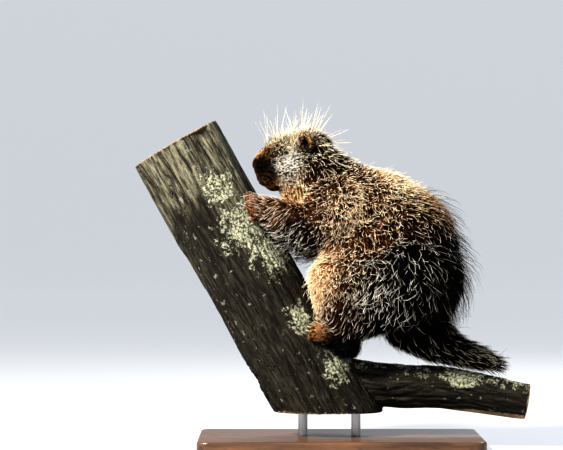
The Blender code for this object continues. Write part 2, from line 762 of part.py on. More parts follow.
def flow_on_head(point):
    """The same on the head: the coat lies back from the nose, and is longest on the crown."""
    local = HEAD_TURN.transposed() @ (point - HEAD_AT)
    way = HEAD_TURN @ Vector((-0.05 - abs(local.x - 0.09), 0.6 * local.y, 0.5 * (local.z + 0.010)))
    depth, total = 0.0, 0.0
    for centre, radii, coat in HEAD.values():
        away = Vector(((local[i] - centre[i]) / (radii[i] + coat) for i in range(3))).length
        weight = math.exp(-max(0.0, away - 1.0) / 0.12)
        depth += weight * coat
        total += weight
    return way.normalized(), depth / total


def march(tree, flow, root, normal, length, sink, lift):
    """The path of a lock: from under the skin at root, out, and along the lie of the coat."""
    path = [root - normal * sink]
    place, before = root, 0.0
    for share, rise in zip(LOCK_BENDS, LOCK_RISE):
        way, depth = flow(place)
        way = (way - normal * way.dot(normal)).normalized()
        ahead = place + way * length * (share - before)
        before = share
        skin, turned = tree.find_nearest(ahead)[:2]
        height = rise * (1 - CORE_SHARE) * depth + lift
        path.append((skin + turned * height).lerp(ahead + normal * height, 0.25))
        place, normal = skin, turned
    return path


def lock_along(path, normal, width, thickness, grow=0.0):
    across = (path[2] - path[0]).cross(normal).normalized()
    widths = [width * share + 2 * grow for share in LOCK_WIDTH]
    heights = [thickness * share + 2 * grow for share in LOCK_WIDTH]
    ends = list(path)
    if grow:
        ends[-1] = path[-1] + (path[-1] - path[-2]).normalized() * 3 * grow
    return blade(ends, across, widths, heights)


def box_of(points, margin=0.0):
    low = [min(point[i] for point in points) - margin for i in range(3)]
    high = [max(point[i] for point in points) + margin for i in range(3)]
    return low, high


def boxes_meet(one, other):
    return all(one[0][i] <= other[1][i] and other[0][i] <= one[1][i] for i in range(3))


class Coat:
    """The locks, quills and long hairs of every node, kept clear of what other nodes hold."""

    def __init__(self, solids):
        self.cores = {name: tree_of(solid) for name, solid in solids.items()}
        self.grown = {name: [] for name in solids}  # (blade, its box, its tree)

    def clear(self, node, points, faces):
        tree = BVHTree.FromPolygons(points, faces)
        if any(tree.overlap(core) for name, core in self.cores.items() if name != node):
            return False
        box = box_of(points)
        for name, grown in self.grown.items():
            if name != node and any(boxes_meet(box, theirs) and tree.overlap(other) for _, theirs, other in grown):
                return False
        return True

    def open_above(self, node, point, normal):
        """Whether a place has room for hair, and isn't pressed against another node."""
        start = point + normal * 0.001
        return not any(
            core.ray_cast(start, normal, HAIR_ROOM)[0] for name, core in self.cores.items() if name != node
        )

    def add(self, node, made):
        points, faces = made
        self.grown[node].append((made, box_of(points), BVHTree.FromPolygons(points, faces)))

    def try_lock(self, node, tree, flow, root, normal, length, width):
        """Adds a lock at root, bent, raised or shortened until it clears the other nodes."""
        for share, lift in ((1.0, 0.0), (1.0, 0.0015), (0.85, 0.0), (0.85, 0.0025), (0.7, 0.001), (0.6, 0.003)):
            for sink in (0.0090, 0.0060):
                path = march(tree, flow, root, normal, length * share, sink, lift)
                thickness = LOCK_THICKNESS * width
                if self.clear(node, *lock_along(path, normal, width, thickness, grow=FAT)):
                    self.add(node, lock_along(path, normal, width, thickness))
                    return True
        return False

    def try_hair(self, node, flow, root, normal, length, thickness, lean):
        """Adds a long hair or a quill that stands out of the coat, where it clears the other nodes."""
        way, _ = flow(root)
        way = (way - normal * way.dot(normal)).normalized()
        for stand in (0.0, 0.12, 0.24):
            flat = lean - stand
            start = (normal * (1 - flat) + way * flat).normalized()
            end = (start + 0.35 * way).normalized()
            bend = root + start * length * 0.38
            path = [root - start * 0.010, bend, bend + end * length * 0.62]
            across = start.cross(end).normalized()
            wide = thickness + 2 * FAT
            if self.clear(node, *blade(path, across, (wide,), (wide,))):
                self.add(node, blade(path, across, (thickness,), (thickness,)))
                return True
        return False


def outer_places(made, tree, draws, dice):
    """Random (point, normal) on the part of a node's surface that is skin, and not a cut."""
    mesh = made.data
    mesh.calc_loop_triangles()
    sizes = [triangle.area for triangle in mesh.loop_triangles]
    for triangle in dice.choices(mesh.loop_triangles, weights=sizes, k=draws):
        u, v = dice.random(), dice.random()
        if u + v > 1:
            u, v = 1 - u, 1 - v
        a, b, c = (mesh.vertices[index].co for index in triangle.vertices)
        point = a + u * (b - a) + v * (c - a)
        skin, normal, _, distance = tree.find_nearest(point)
        if distance < 0.0006 and normal.dot(triangle.normal) > 0.9:
            yield skin, normal


def before_eye(point):
    """Whether a lock from here would hide an eye."""
    local = HEAD_TURN.transposed() @ (point - HEAD_AT)
    return -0.010 < local.x - EYE[0] < 0.034 and abs(local.z - EYE[1]) < 0.013


def grow_locks(coat, node, made, tree, flow, dice):
    """Locks all over one node, spaced by the depth of its coat."""
    length, spacing, width, least = LOCKS["leg" if "leg" in node else node]
    roots = []
    for point, normal in outer_places(made, tree, 2600, dice):
        _, depth = flow(point)
        if depth < least or before_eye(point):
            continue
        apart = spacing * depth
        if any((point - other).length < max(apart, theirs) for other, theirs in roots):
            continue
        if not coat.open_above(node, point, normal):
            continue
        reach = length * depth * dice.uniform(0.92, 1.12)
        if coat.try_lock(node, tree, flow, point, normal, reach, width * reach * dice.uniform(0.9, 1.1)):
            roots.append((point, apart))
    return len(roots)


def grow_hairs(coat, node, made, tree, flow, dice):
    """Quills and long hairs over the locks of one node, most of them on its upper and rear side."""
    number, length, thickness, lean = HAIRS[node]
    apart = length * 0.27
    roots = []
    for point, normal in outer_places(made, tree, 900, dice):
        _, depth = flow(point)
        if depth < LOCKS[node][3] or normal.z < HAIR_FACING[node]:
            continue
        if any((point - other).length < apart for other in roots):
            continue
        if coat.try_hair(node, flow, point, normal, length * dice.uniform(0.85, 1.15), thickness, lean):
            roots.append(point)
        if len(roots) == number:
            break
    return len(roots)


def grow_coat(pieces, parts, trees):
    whole_body, whole_skull = trees
    solids = {made.name: made for made in parts.objects}
    coat = Coat(solids)
    masses = body_masses()

    def on_body(point):
        return flow_on_body(point, masses)

    for node, made in pieces.items():
        if "paw" in node:
            continue
        tree, flow = (whole_skull, flow_on_head) if node == "head" else (whole_body, on_body)
        dice = random.Random(f"{node} {SEED}")
        count = grow_locks(coat, node, made, tree, flow, dice)
        hairs = grow_hairs(coat, node, made, tree, flow, dice) if node in HAIRS else 0
        add_blades(made, [grown[0] for grown in coat.grown[node]])
        print(f"{node}: {count} locks, {hairs} long hairs and quills")


def main():
    clear_scene()
    parts = new_collection("porcupine")
    tools = new_collection("tools")
    build_base(parts)
    build_rods(parts)
    limb = build_limb(parts, tools)
    wide_limb = copy_of(limb, "wide_limb", tools, grow=FAT)

    body = build_body(tools)
    skull = build_skull(tools)
    whole_body, whole_skull = tree_of(body), tree_of(skull)

    pieces = {}
    pieces["tail"] = part_off_beyond(body, "tail", parts, tools)
    for which, side_name in SETBACK:
        name = f"{which}leg_{side_name}"
        region = leg_region(which, side_name, 0.0, tools)
        leg = part_off(body, name, region, leg_region(which, side_name, FAT, tools), parts)
        side, shift = SIDES[side_name], SETBACK[(which, side_name)]
        wrist, way = mirrored(WRIST[which], side, shift), WRIST_WAY[which].normalized()
        beyond = half_space("beyond", tools, wrist, way, reach=0.09)
        subtract(leg, beyond)
        bpy.data.objects.remove(beyond)
        subtract(leg, wide_limb)
        pieces[name] = leg
        paw = build_paw(which, side_name, parts)
        before = half_space("before", tools, wrist + way * GAP, -way, reach=0.09)
        subtract(paw, before)
        bpy.data.objects.remove(before)
        add_blades(paw, claws_of(which, side_name))
        subtract(paw, wide_limb)
        pieces[f"{which}paw_{side_name}"] = paw
        wide_paw = copy_of(paw, "wide_paw", tools, grow=FAT)
        subtract(leg, wide_paw)
        bpy.data.objects.remove(wide_paw)
    pieces["neck"] = part_off_beyond(body, "neck", parts, tools)
    point, way = CUTS["head"]
    before = half_space("before", tools, point, way, reach=0.30)
    subtract(pieces["neck"], before)
    bpy.data.objects.remove(before)
    behind = half_space("behind", tools, point + way.normalized() * GAP, -way, reach=0.30)
    carve_face(skull, parts, tools)
    subtract(skull, behind)
    bpy.data.objects.remove(behind)
    skull.name = "head"
    tools.objects.unlink(skull)
    parts.objects.link(skull)
    pieces["head"] = skull
    body.name = "torso"
    tools.objects.unlink(body)
    parts.objects.link(body)
    pieces["torso"] = body
    for side_name in SIDES:
        ear_cup(side_name, parts, (skull, pieces["neck"]), tools)

    grow_coat(pieces, parts, (whole_body, whole_skull))

    for name, piece in pieces.items():
        key = "paw" if "paw" in name else "leg" if "leg" in name else name
        paint(piece, name, FUR[key])
    for spare in list(tools.objects):
        bpy.data.objects.remove(spare)


main()
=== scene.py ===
# %% [markdown]
# # A North American porcupine on its perch
# The animal climbs a leaning limb, which stands on a plain display base. Its solids come packed from
# the CAD step, and this lesson dresses them: one smooth skin, a bristly coat of small solid tufts,
# rough bark, and a plain studio round it. The frame is loaded first, because every later piece is
# placed from it.

import math

import bmesh
import bpy
import numpy as np
from mathutils import Matrix, Vector, noise
from mathutils.bvhtree import BVHTree


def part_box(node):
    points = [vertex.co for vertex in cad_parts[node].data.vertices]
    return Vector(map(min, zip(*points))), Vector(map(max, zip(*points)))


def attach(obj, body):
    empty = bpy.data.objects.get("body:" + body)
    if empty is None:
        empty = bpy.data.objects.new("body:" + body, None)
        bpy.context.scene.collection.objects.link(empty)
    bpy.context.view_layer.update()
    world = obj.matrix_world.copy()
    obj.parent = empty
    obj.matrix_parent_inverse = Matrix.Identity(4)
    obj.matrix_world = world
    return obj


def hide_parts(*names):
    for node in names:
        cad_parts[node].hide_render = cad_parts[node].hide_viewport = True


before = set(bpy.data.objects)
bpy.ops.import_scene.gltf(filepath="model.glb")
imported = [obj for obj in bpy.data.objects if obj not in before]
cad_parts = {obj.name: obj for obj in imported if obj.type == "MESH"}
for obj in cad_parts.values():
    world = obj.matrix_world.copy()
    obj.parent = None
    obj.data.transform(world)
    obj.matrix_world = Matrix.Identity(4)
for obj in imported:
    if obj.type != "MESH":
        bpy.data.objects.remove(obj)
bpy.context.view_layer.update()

# %% [markdown]
# ## Camera
# A long lens far away keeps the animal's proportions true, as a telescope does for a watcher on the
# ground. It looks level, straight at the animal's left side, so it is set up from two facts: the point
# that it aims at, and how many metres of the scene the picture spans there.

# %% Camera
AIM = Vector((-0.0995, 0.0, 0.3775))
VIEW_WIDTH = 0.957
CAMERA_DISTANCE = 4.6

camera_data = bpy.data.cameras.new("camera")
camera_data.sensor_width = 36.0
camera_data.lens = camera_data.sensor_width * CAMERA_DISTANCE / VIEW_WIDTH
camera = bpy.data.objects.new("camera", camera_data)
camera.location = AIM - Vector((0, CAMERA_DISTANCE, 0))
camera.rotation_euler = (math.pi / 2, 0, 0)
bpy.context.scene.collection.objects.link(camera)
bpy.context.scene.camera = camera
print("lens", round(camera_data.lens, 1), "mm")

# %% [markdown]
# ## Helpers for meshes
# Most pieces start as a bmesh, become an object, and are then finished by a modifier or two that are
# applied at once. These helpers do those steps. They also drop the loose shells that fusing can leave.


# %% Mesh helpers
def new_piece(name, bm):
    """An object at the origin that holds the bmesh, its faces turned outward."""
    bmesh.ops.recalc_face_normals(bm, faces=bm.faces)
    mesh = bpy.data.meshes.new(name)
    bm.to_mesh(mesh)
    bm.free()
    piece = bpy.data.objects.new(name, mesh)
    bpy.context.scene.collection.objects.link(piece)
    return piece


def settle(piece):
    """Applies an object's modifiers."""
    graph = bpy.context.evaluated_depsgraph_get()
    mesh = bpy.data.meshes.new_from_object(piece.evaluated_get(graph))
    piece.modifiers.clear()
    piece.data = mesh
    return piece


def smooth_shaded(piece):
    piece.data.polygons.foreach_set("use_smooth", [True] * len(piece.data.polygons))
    piece.data.update()


def triangles_of(piece):
    return sum(len(face.vertices) - 2 for face in piece.data.polygons)


def vectors_of(mesh, kind):
    vectors = np.empty(len(mesh.vertices) * 3, np.float32)
    mesh.vertices.foreach_get(kind, vectors)
    return vectors.reshape(-1, 3).astype(float)


def points_of(mesh):
    return vectors_of(mesh, "co")


def normals_of(mesh):
    return vectors_of(mesh, "normal")


def set_points(mesh, points):
    mesh.vertices.foreach_set("co", np.asarray(points, np.float32).ravel())
    mesh.update()


def set_colours(mesh, name, colours):
    """One colour for each vertex, under a name that a material can read."""
    layer = mesh.color_attributes.new(name, "FLOAT_COLOR", "POINT")
    full = np.ones((len(mesh.vertices), 4), np.float32)
    full[:, :3] = colours
    layer.data.foreach_set("color", full.ravel())


def set_values(mesh, name, values):
    """One number for each vertex, under a name that a material can read."""
    layer = mesh.attributes.new(name, "FLOAT", "POINT")
    layer.data.foreach_set("value", np.asarray(values, np.float32))


def distance(points, place):
    return np.linalg.norm(points - np.array(place), axis=1)


def keep_largest(piece):
    """Drops every loose shell of a mesh but the one with most vertices."""
    bm = bmesh.new()
    bm.from_mesh(piece.data)
    unseen, shells = set(bm.verts), []
    while unseen:
        start = unseen.pop()
        shell, front = [start], [start]
        while front:
            for edge in front.pop().link_edges:
                for vert in edge.verts:
                    if vert in unseen:
                        unseen.discard(vert)
                        shell.append(vert)
                        front.append(vert)
        shells.append(shell)
    shells.sort(key=len)
    loose = [vert for shell in shells[:-1] for vert in shell]
    bmesh.ops.delete(bm, geom=loose, context="VERTS")
    bm.to_mesh(piece.data)
    bm.free()


def hull_of_balls(bm, balls, breadth=1.0, detail=3):
    """Adds the hull of balls, each (centre, radius), stretched sideways by breadth."""
    hull = bmesh.new()
    for centre, radius in balls:
        place = Matrix.Translation(centre) @ Matrix.Diagonal((1, breadth, 1, 1))
        bmesh.ops.create_icosphere(hull, subdivisions=detail, radius=radius, matrix=place)
    bmesh.ops.delete(hull, geom=hull.faces[:], context="FACES_ONLY")
    found = bmesh.ops.convex_hull(hull, input=hull.verts[:])
    bmesh.ops.delete(hull, geom=found["geom_interior"], context="VERTS")
    bmesh.ops.delete(hull, geom=[edge for edge in hull.edges if not edge.link_faces], context="EDGES")
    mesh = bpy.data.meshes.new("hull")
    hull.to_mesh(mesh)
    hull.free()
    bm.from_mesh(mesh)
    bpy.data.meshes.remove(mesh)


print("mesh helpers ready")

# %% [markdown]
# ## The limb's own coordinates
# Paws, lichen and bark all have to know where they are on the leaning limb. So one function turns
# "so far down the limb, so far round it, so high over the bark" into a place in the scene. The sizes
# are those of the solids.

# %% Limb coordinates
LIMB_RADIUS = 0.080
LIMB_LEAN = math.radians(60)
LIMB_GRIP = Vector((-0.200, 0, 0.375))
LIMB_ABOVE = 0.162
LIMB_FOOT_Z = 0.060
LIMB_DOWN = Vector((math.cos(LIMB_LEAN), 0, -math.sin(LIMB_LEAN)))
LIMB_OUT = Vector((math.sin(LIMB_LEAN), 0, math.cos(LIMB_LEAN)))
LIMB_FOOT = (LIMB_GRIP.z - LIMB_FOOT_Z) / math.sin(LIMB_LEAN)


def limb_point(along, around, height, side):
    """A place over the bark: metres down from the grip, degrees round from the limb's upper line."""
    turn = math.radians(around)
    spoke = math.cos(turn) * LIMB_OUT + Vector((0, side * math.sin(turn), 0))
    return LIMB_GRIP + along * LIMB_DOWN + (LIMB_RADIUS + height) * spoke


print("limb from", [round(v, 3) for v in LIMB_GRIP - LIMB_ABOVE * LIMB_DOWN], "down to z", LIMB_FOOT_Z)

# %% [markdown]
# ## Masses of the body
# Under a porcupine's coat is a stocky body. It is built as its solids are, from tapered masses, one for
# each group of muscles, written as two ends with a radius each, a sideways breadth, and the depth of the
# coat there. The coat lies from the first end to the second, so the same table later combs the hair. The
# fold is the loose skin between thigh and flank, which fills the hollow when the leg is drawn up.

# %% Masses
TRUNK = {
    "neck": ((-0.070, 0, 0.484), 0.034, (-0.020, 0, 0.446), 0.044, 1.00, 0.018),
    "throat": ((-0.076, 0, 0.446), 0.027, (-0.030, 0, 0.420), 0.040, 1.00, 0.012),
    "chest": ((-0.010, 0, 0.420), 0.056, (0.055, 0, 0.378), 0.072, 0.96, 0.024),
    "back": ((0.055, 0, 0.378), 0.073, (0.102, 0, 0.345), 0.075, 1.08, 0.027),
    "rump": ((0.102, 0, 0.345), 0.075, (0.124, 0, 0.285), 0.068, 1.14, 0.030),
    "seat": ((0.122, 0, 0.290), 0.062, (0.128, 0, 0.245), 0.048, 1.15, 0.026),
    "belly": ((0.040, 0, 0.345), 0.062, (0.085, 0, 0.270), 0.060, 1.08, 0.014),
    "dock": ((0.118, 0, 0.214), 0.036, (0.180, 0, 0.170), 0.018, 1.30, 0.015),
    "tail": ((0.180, 0, 0.170), 0.018, (0.252, 0, 0.146), 0.008, 1.45, 0.013),
}
FORELEG = {
    "shoulder": ((-0.006, 0.040, 0.402), 0.045, (-0.050, 0.060, 0.372), 0.028, 1.0, 0.016),
    "forearm": ((-0.050, 0.060, 0.372), 0.026, (-0.116, 0.057, 0.398), 0.018, 1.0, 0.011),
}
HINDLEG = {
    "thigh": ((0.100, 0.050, 0.292), 0.060, (-0.006, 0.066, 0.283), 0.037, 1.0, 0.018),
    "fold": ((0.066, 0.050, 0.345), 0.044, (0.006, 0.060, 0.328), 0.030, 1.0, 0.018),
    "calf": ((0.100, 0.048, 0.272), 0.052, (0.024, 0.056, 0.230), 0.030, 1.0, 0.016),
    "shank": ((-0.006, 0.066, 0.276), 0.034, (0.000, 0.058, 0.202), 0.024, 1.0, 0.011),
}
SIDES = {"left": -1, "right": 1}
# how far each leg is set down the limb
SETBACK = {("fore", "left"): 0.0, ("fore", "right"): 0.016, ("hind", "left"): 0.0, ("hind", "right"): 0.012}


def all_masses():
    """Every mass in place, as (start, its radius, end, its radius, breadth, coat)."""
    masses = {}
    for name, (a, ra, b, rb, breadth, coat) in TRUNK.items():
        masses[name] = (Vector(a), ra, Vector(b), rb, breadth, coat)
    for (which, side_name), shift in SETBACK.items():
        side = SIDES[side_name]
        for name, (a, ra, b, rb, breadth, coat) in (FORELEG if which == "fore" else HINDLEG).items():
            start_shift = shift / 2 if name in ("forearm", "shank") else 0.0
            start = Vector((a[0], a[1] * side, a[2])) + start_shift * LIMB_DOWN
            end = Vector((b[0], b[1] * side, b[2])) + shift * LIMB_DOWN
            masses[f"{name}_{side_name}"] = (start, ra, end, rb, breadth, coat)
    return masses


MASSES = all_masses()
print("masses:", len(MASSES))

# %% [markdown]
# ## Head and paws
# The head is made of ellipsoids, given forward, outward and up from a point between the ears, so that it
# can be pitched as one. Each paw is a chain of balls that lies on the bark, with a hull between
# neighbours, and its toes fan out from the ball of the foot.

# %% Head and paw shapes
HEAD_AT = Vector((-0.056, 0, 0.517))
HEAD_PITCH = math.radians(21)
HEAD_TURN = Matrix(
    (
        (-math.cos(HEAD_PITCH), 0, -math.sin(HEAD_PITCH)),
        (0, -1, 0),
        (-math.sin(HEAD_PITCH), 0, math.cos(HEAD_PITCH)),
    )
)
FACE_CORE = 0.42  # share of the face's short coat that counts as skin, so that the lids meet the eyes
HEAD = {
    "cranium": ((0.010, 0, -0.014), (0.038, 0.033, 0.029), 0.015),
    "brow": ((0.046, 0, -0.013), (0.034, 0.027, 0.029), 0.011),
    "bridge": ((0.064, 0, -0.012), (0.030, 0.021, 0.027), 0.005),
    "muzzle": ((0.076, 0, -0.013), (0.023, 0.019, 0.025), 0.003),
    "nose": ((0.0885, 0, -0.004), (0.0105, 0.012, 0.010), 0.001),
    "lips": ((0.084, 0, -0.028), (0.016, 0.0155, 0.016), 0.002),
    "chin": ((0.076, 0, -0.042), (0.015, 0.013, 0.013), 0.002),
    "cheeks": ((0.042, 0, -0.036), (0.032, 0.031, 0.025), 0.009),
}
# places as metres down the limb, degrees round it and metres over it, then a radius; toes spread and arc
# down the limb, and fan round it
PAW = {
    "fore": {
        "cuff": ((0.022, 34, 0.0215), 0.0175),
        "heel": ((0.009, 38, 0.0130), 0.0150),
        "ball": ((-0.001, 45, 0.0100), 0.0140),
        "toes": 4,
        "spread": 0.036,
        "arc": 0.0,
        "fan": 10.0,
        "toe": ((-0.004, 46, 0.0065), 0.0058),
        "claw": ((-0.008, 53.5, 0.0010), 0.0026),
        "back": (-0.92, 0, 0.36),
    },
    "hind": {
        "cuff": ((0.254, 35, 0.0230), 0.0215),
        "heel": ((0.274, 33, 0.0150), 0.0160),
        "ball": ((0.240, 46, 0.0110), 0.0150),
        "toes": 5,
        "spread": 0.0,
        "arc": 0.024,
        "fan": -16.5,
        "toe": ((0.226, 52, 0.0065), 0.0062),
        "claw": ((0.213, 57.0, 0.0010), 0.0028),
        "back": (0.10, 0, -1.0),
    },
}


def head_point(forward, outward, up, side=1):
    """A place on the head; side 1 is the animal's left."""
    return HEAD_AT + HEAD_TURN @ Vector((forward, outward * side, up))


def paw_place(which, side_name, what):
    (along, around, height), radius = PAW[which][what]
    shift = SETBACK[(which, side_name)]
    return limb_point(along + shift, around, height, SIDES[side_name]), radius


def toe_places(which, side_name, what):
    """The places of all of a paw's toes or claws, spread along the limb."""
    side, shift = SIDES[side_name], SETBACK[(which, side_name)]
    paw = PAW[which]
    (along, around, height), radius = paw[what]
    places = []
    for number in range(paw["toes"]):
        share = number / (paw["toes"] - 1) - 0.5
        down = along + share * paw["spread"] + paw["arc"] * share * share
        places.append(limb_point(down + shift, around + paw["fan"] * share, height, side))
    return places, radius


print("nose tip at", [round(v, 3) for v in head_point(0.099, 0, -0.004)])

# %% [markdown]
# ## One skin
# All those masses overlap. A voxel remesh wraps them in one closed surface, and smoothing with a weight
# for each vertex melts the body's joins well together while the face and the toes keep their shape. Then
# the face is cut finer, so that lids, nostrils and lips can be pushed into it.

# %% Skin: fuse the masses
SKIN_VOXEL = 0.0020


def add_paw(bm, which, side_name):
    cuff, heel, ball = (paw_place(which, side_name, what) for what in ("cuff", "heel", "ball"))
    above = (cuff[0] - 0.02 * Vector(PAW[which]["back"]), cuff[1])
    for pair in ((above, cuff), (cuff, heel), (heel, ball)):
        hull_of_balls(bm, pair, detail=2)
    toes, radius = toe_places(which, side_name, "toe")
    for toe in toes:
        hull_of_balls(bm, ((ball[0].lerp(toe, 0.45), radius * 1.35), (toe, radius)), detail=2)


def head_local(points):
    """Points in the head's own forward, outward and up."""
    return (points - np.array(HEAD_AT)) @ np.array(HEAD_TURN)


bm = bmesh.new()
for start, start_radius, end, end_radius, breadth, _ in MASSES.values():
    hull_of_balls(bm, ((start, start_radius), (end, end_radius)), breadth)
for name, (centre, radii, coat) in HEAD.items():
    grow = 0.0 if name == "cranium" else FACE_CORE * coat
    size = Matrix.Diagonal((*(radius + grow for radius in radii), 1))
    place = Matrix.Translation(head_point(*centre)) @ HEAD_TURN.to_4x4() @ size
    bmesh.ops.create_icosphere(bm, subdivisions=4, radius=1.0, matrix=place)
for which, side_name in SETBACK:
    add_paw(bm, which, side_name)
skin = new_piece("skin", bm)
remesh = skin.modifiers.new("Fuse", "REMESH")
remesh.mode = "VOXEL"
remesh.voxel_size = SKIN_VOXEL
settle(skin)
keep_largest(skin)
print("fused skin:", triangles_of(skin), "triangles")


# %% Skin: melt the joins
def smooth_step(low, high, values):
    share = np.clip((values - low) / (high - low), 0, 1)
    return share * share * (3 - 2 * share)


def melt(piece, weights, rounds):
    """Smooths a mesh, most where the weights are 1."""
    group = piece.vertex_groups.new(name="melt")
    for step in range(1, 11):
        chosen = np.nonzero(np.round(weights * 10) == step)[0]
        if len(chosen):
            group.add(chosen.tolist(), step / 10, "REPLACE")
    blend = piece.modifiers.new("Melt", "SMOOTH")
    blend.factor = 0.5
    blend.iterations = rounds
    blend.vertex_group = "melt"
    settle(piece)
    piece.vertex_groups.clear()


def paw_distance(points):
    """How far each point is from the nearest paw's middle."""
    middles = []
    for which, side_name in SETBACK:
        ball, toes = paw_place(which, side_name, "ball")[0], toe_places(which, side_name, "toe")[0]
        middles.append((ball + toes[0]) / 2)
    return np.min([distance(points, middle) for middle in middles], axis=0)


def flank_crease(points):
    """1 in the crease between thigh and flank, where the masses leave too sharp a groove."""
    ahead, above = (points[:, 0] - 0.030) / 0.085, (points[:, 2] - 0.322) / 0.048
    return np.exp(-(ahead**4) - above**4) * smooth_step(0.030, 0.050, np.abs(points[:, 1]))


BODY_ROUNDS, FACE_ROUNDS, CREASE_ROUNDS = 46, 9, 160
places = points_of(skin.data)
face_share = smooth_step(-0.030, 0.020, head_local(places)[:, 0])
paw_share = 1 - smooth_step(0.028, 0.045, paw_distance(places))
melt(skin, 1 - np.maximum(face_share, paw_share), BODY_ROUNDS)
melt(skin, np.maximum(face_share, 0.35 * paw_share), FACE_ROUNDS)
melt(skin, flank_crease(points_of(skin.data)), CREASE_ROUNDS)
print("skin melted; face vertices:", int((face_share > 0.5).sum()))


# %% Skin: thin the mesh under the deep coat
def on_face(points):
    """Whether a place is on the front of the head."""
    local = head_local(points)
    return (local[:, 0] > 0.044) & (np.abs(local[:, 1]) < 0.040) & (local[:, 2] > -0.062)


def thin_out(piece, chosen, ratio):
    """Collapses edges of the chosen vertices until the whole mesh has that share of its triangles."""
    group = piece.vertex_groups.new(name="thin")
    group.add(np.nonzero(chosen)[0].tolist(), 1.0, "REPLACE")
    collapse = piece.modifiers.new("Thin", "DECIMATE")
    collapse.ratio = ratio
    collapse.vertex_group = "thin"
    settle(piece)
    piece.vertex_groups.clear()


KEPT_SHARE = 0.42
places = points_of(skin.data)
thin_out(skin, ~on_face(places) & (paw_distance(places) > 0.04), KEPT_SHARE)
print("thinned skin:", triangles_of(skin), "triangles")

# %% [markdown]
# ## Face
# Real lids are a soft ring that stands over the eyeball and closes round it, the nostrils are commas with
# a raised rim, and the upper lip is split under the nose. Each is a small push of the fine mesh along its
# normals, written as a distance from a line or a point, which is how a sculptor would press clay.

# %% Face: finer mesh
EYE_RADIUS = 0.0055
EYE_SINK = 0.0030
MOUTH_MIDDLE = (0.072, -0.0315)
NOSTRIL = (0.0985, 0.00525, -0.0055)
SOCKET_DEPTH, LID_RISE = 0.0035, 0.0010
NOSTRIL_DEPTH, MOUTH_DEPTH, SPLIT_DEPTH = 0.0034, 0.0019, 0.0012


def eye_way(side_name):
    return (HEAD_TURN @ Vector((0.30, -SIDES[side_name], 0.12))).normalized()


def eye_centre(side_name):
    low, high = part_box(f"eye_{side_name}")
    return (low + high) / 2


def cut_finer(piece, chosen):
    """Halves every edge whose middle is chosen, then relaxes the new vertices."""
    bm = bmesh.new()
    bm.from_mesh(piece.data)
    middles = np.array([(edge.verts[0].co + edge.verts[1].co) / 2 for edge in bm.edges])
    wanted = chosen(middles)
    edges = [edge for edge, want in zip(bm.edges, wanted) if want]
    made = bmesh.ops.subdivide_edges(bm, edges=edges, cuts=1, use_grid_fill=True)
    fresh = [item for item in made["geom_inner"] if isinstance(item, bmesh.types.BMVert)]
    for _ in range(2):
        bmesh.ops.smooth_vert(bm, verts=fresh, factor=0.4,
                              use_axis_x=True, use_axis_y=True, use_axis_z=True)
    bmesh.ops.triangulate(bm, faces=bm.faces)
    bm.to_mesh(piece.data)
    bm.free()


def on_features(points):
    """Whether a place is close to an eye, a nostril or the line of the mouth."""
    local = head_local(points)
    near = np.zeros(len(points), bool)
    for side_name in SIDES:
        near |= distance(points, eye_centre(side_name)) < 0.0125
    mouth = np.abs(local[:, 2] - mouth_height(local)) < 0.0045
    near |= mouth & (local[:, 0] > 0.058) & (np.abs(local[:, 1]) < 0.024)
    return near | (distance(local, (0.098, 0, -0.008)) < 0.013)


def mouth_height(local):
    """How high the line of the mouth runs at a place on the head."""
    ahead, out = local[:, 0] - MOUTH_MIDDLE[0], local[:, 1]
    reach = np.hypot(ahead, out)
    turn = np.arctan2(out, ahead)
    return MOUTH_MIDDLE[1] - 0.096 * reach * np.sin(turn) ** 2


cut_finer(skin, on_face)
cut_finer(skin, on_features)
print("skin with a fine face:", triangles_of(skin), "triangles")


# %% Face: lids, nostrils and mouth
def bump(values, middle, width):
    """1 at the middle, and 0 beyond the width."""
    return np.exp(-(((values - middle) / width) ** 2))


def press_eye(points, side_name):
    """Opens a socket and raises the lids round one eye."""
    way = np.array(eye_way(side_name))
    along = np.array(HEAD_TURN @ Vector((1, 0, 0)))
    along = along - way * along.dot(way)
    along /= np.linalg.norm(along)
    up = np.cross(way, along)
    up *= math.copysign(1, up[2])
    from_eye = points - np.array(eye_centre(side_name))
    height, ahead, above = from_eye @ way, from_eye @ along, from_eye @ up
    close = np.linalg.norm(from_eye, axis=1) < 0.018
    ring = np.hypot(ahead / 0.0056, (above + 0.0002) / 0.0044)
    middle = close & (np.hypot(ahead, above) < 0.010)
    level = height[middle & (ring > 1.1)].mean()
    push = (EYE_SINK - level) * bump(np.hypot(ahead, above), 0, 0.011)
    push += LID_RISE * bump(ring, 1.12, 0.16) * np.where(above > 0, 1.35, 0.8)
    push -= 0.0004 * bump(ring, 1.70, 0.22)
    push = np.where(ring < 0.93, -SOCKET_DEPTH - height, push)
    push *= close & (height > -0.012)
    return points + push[:, None] * way


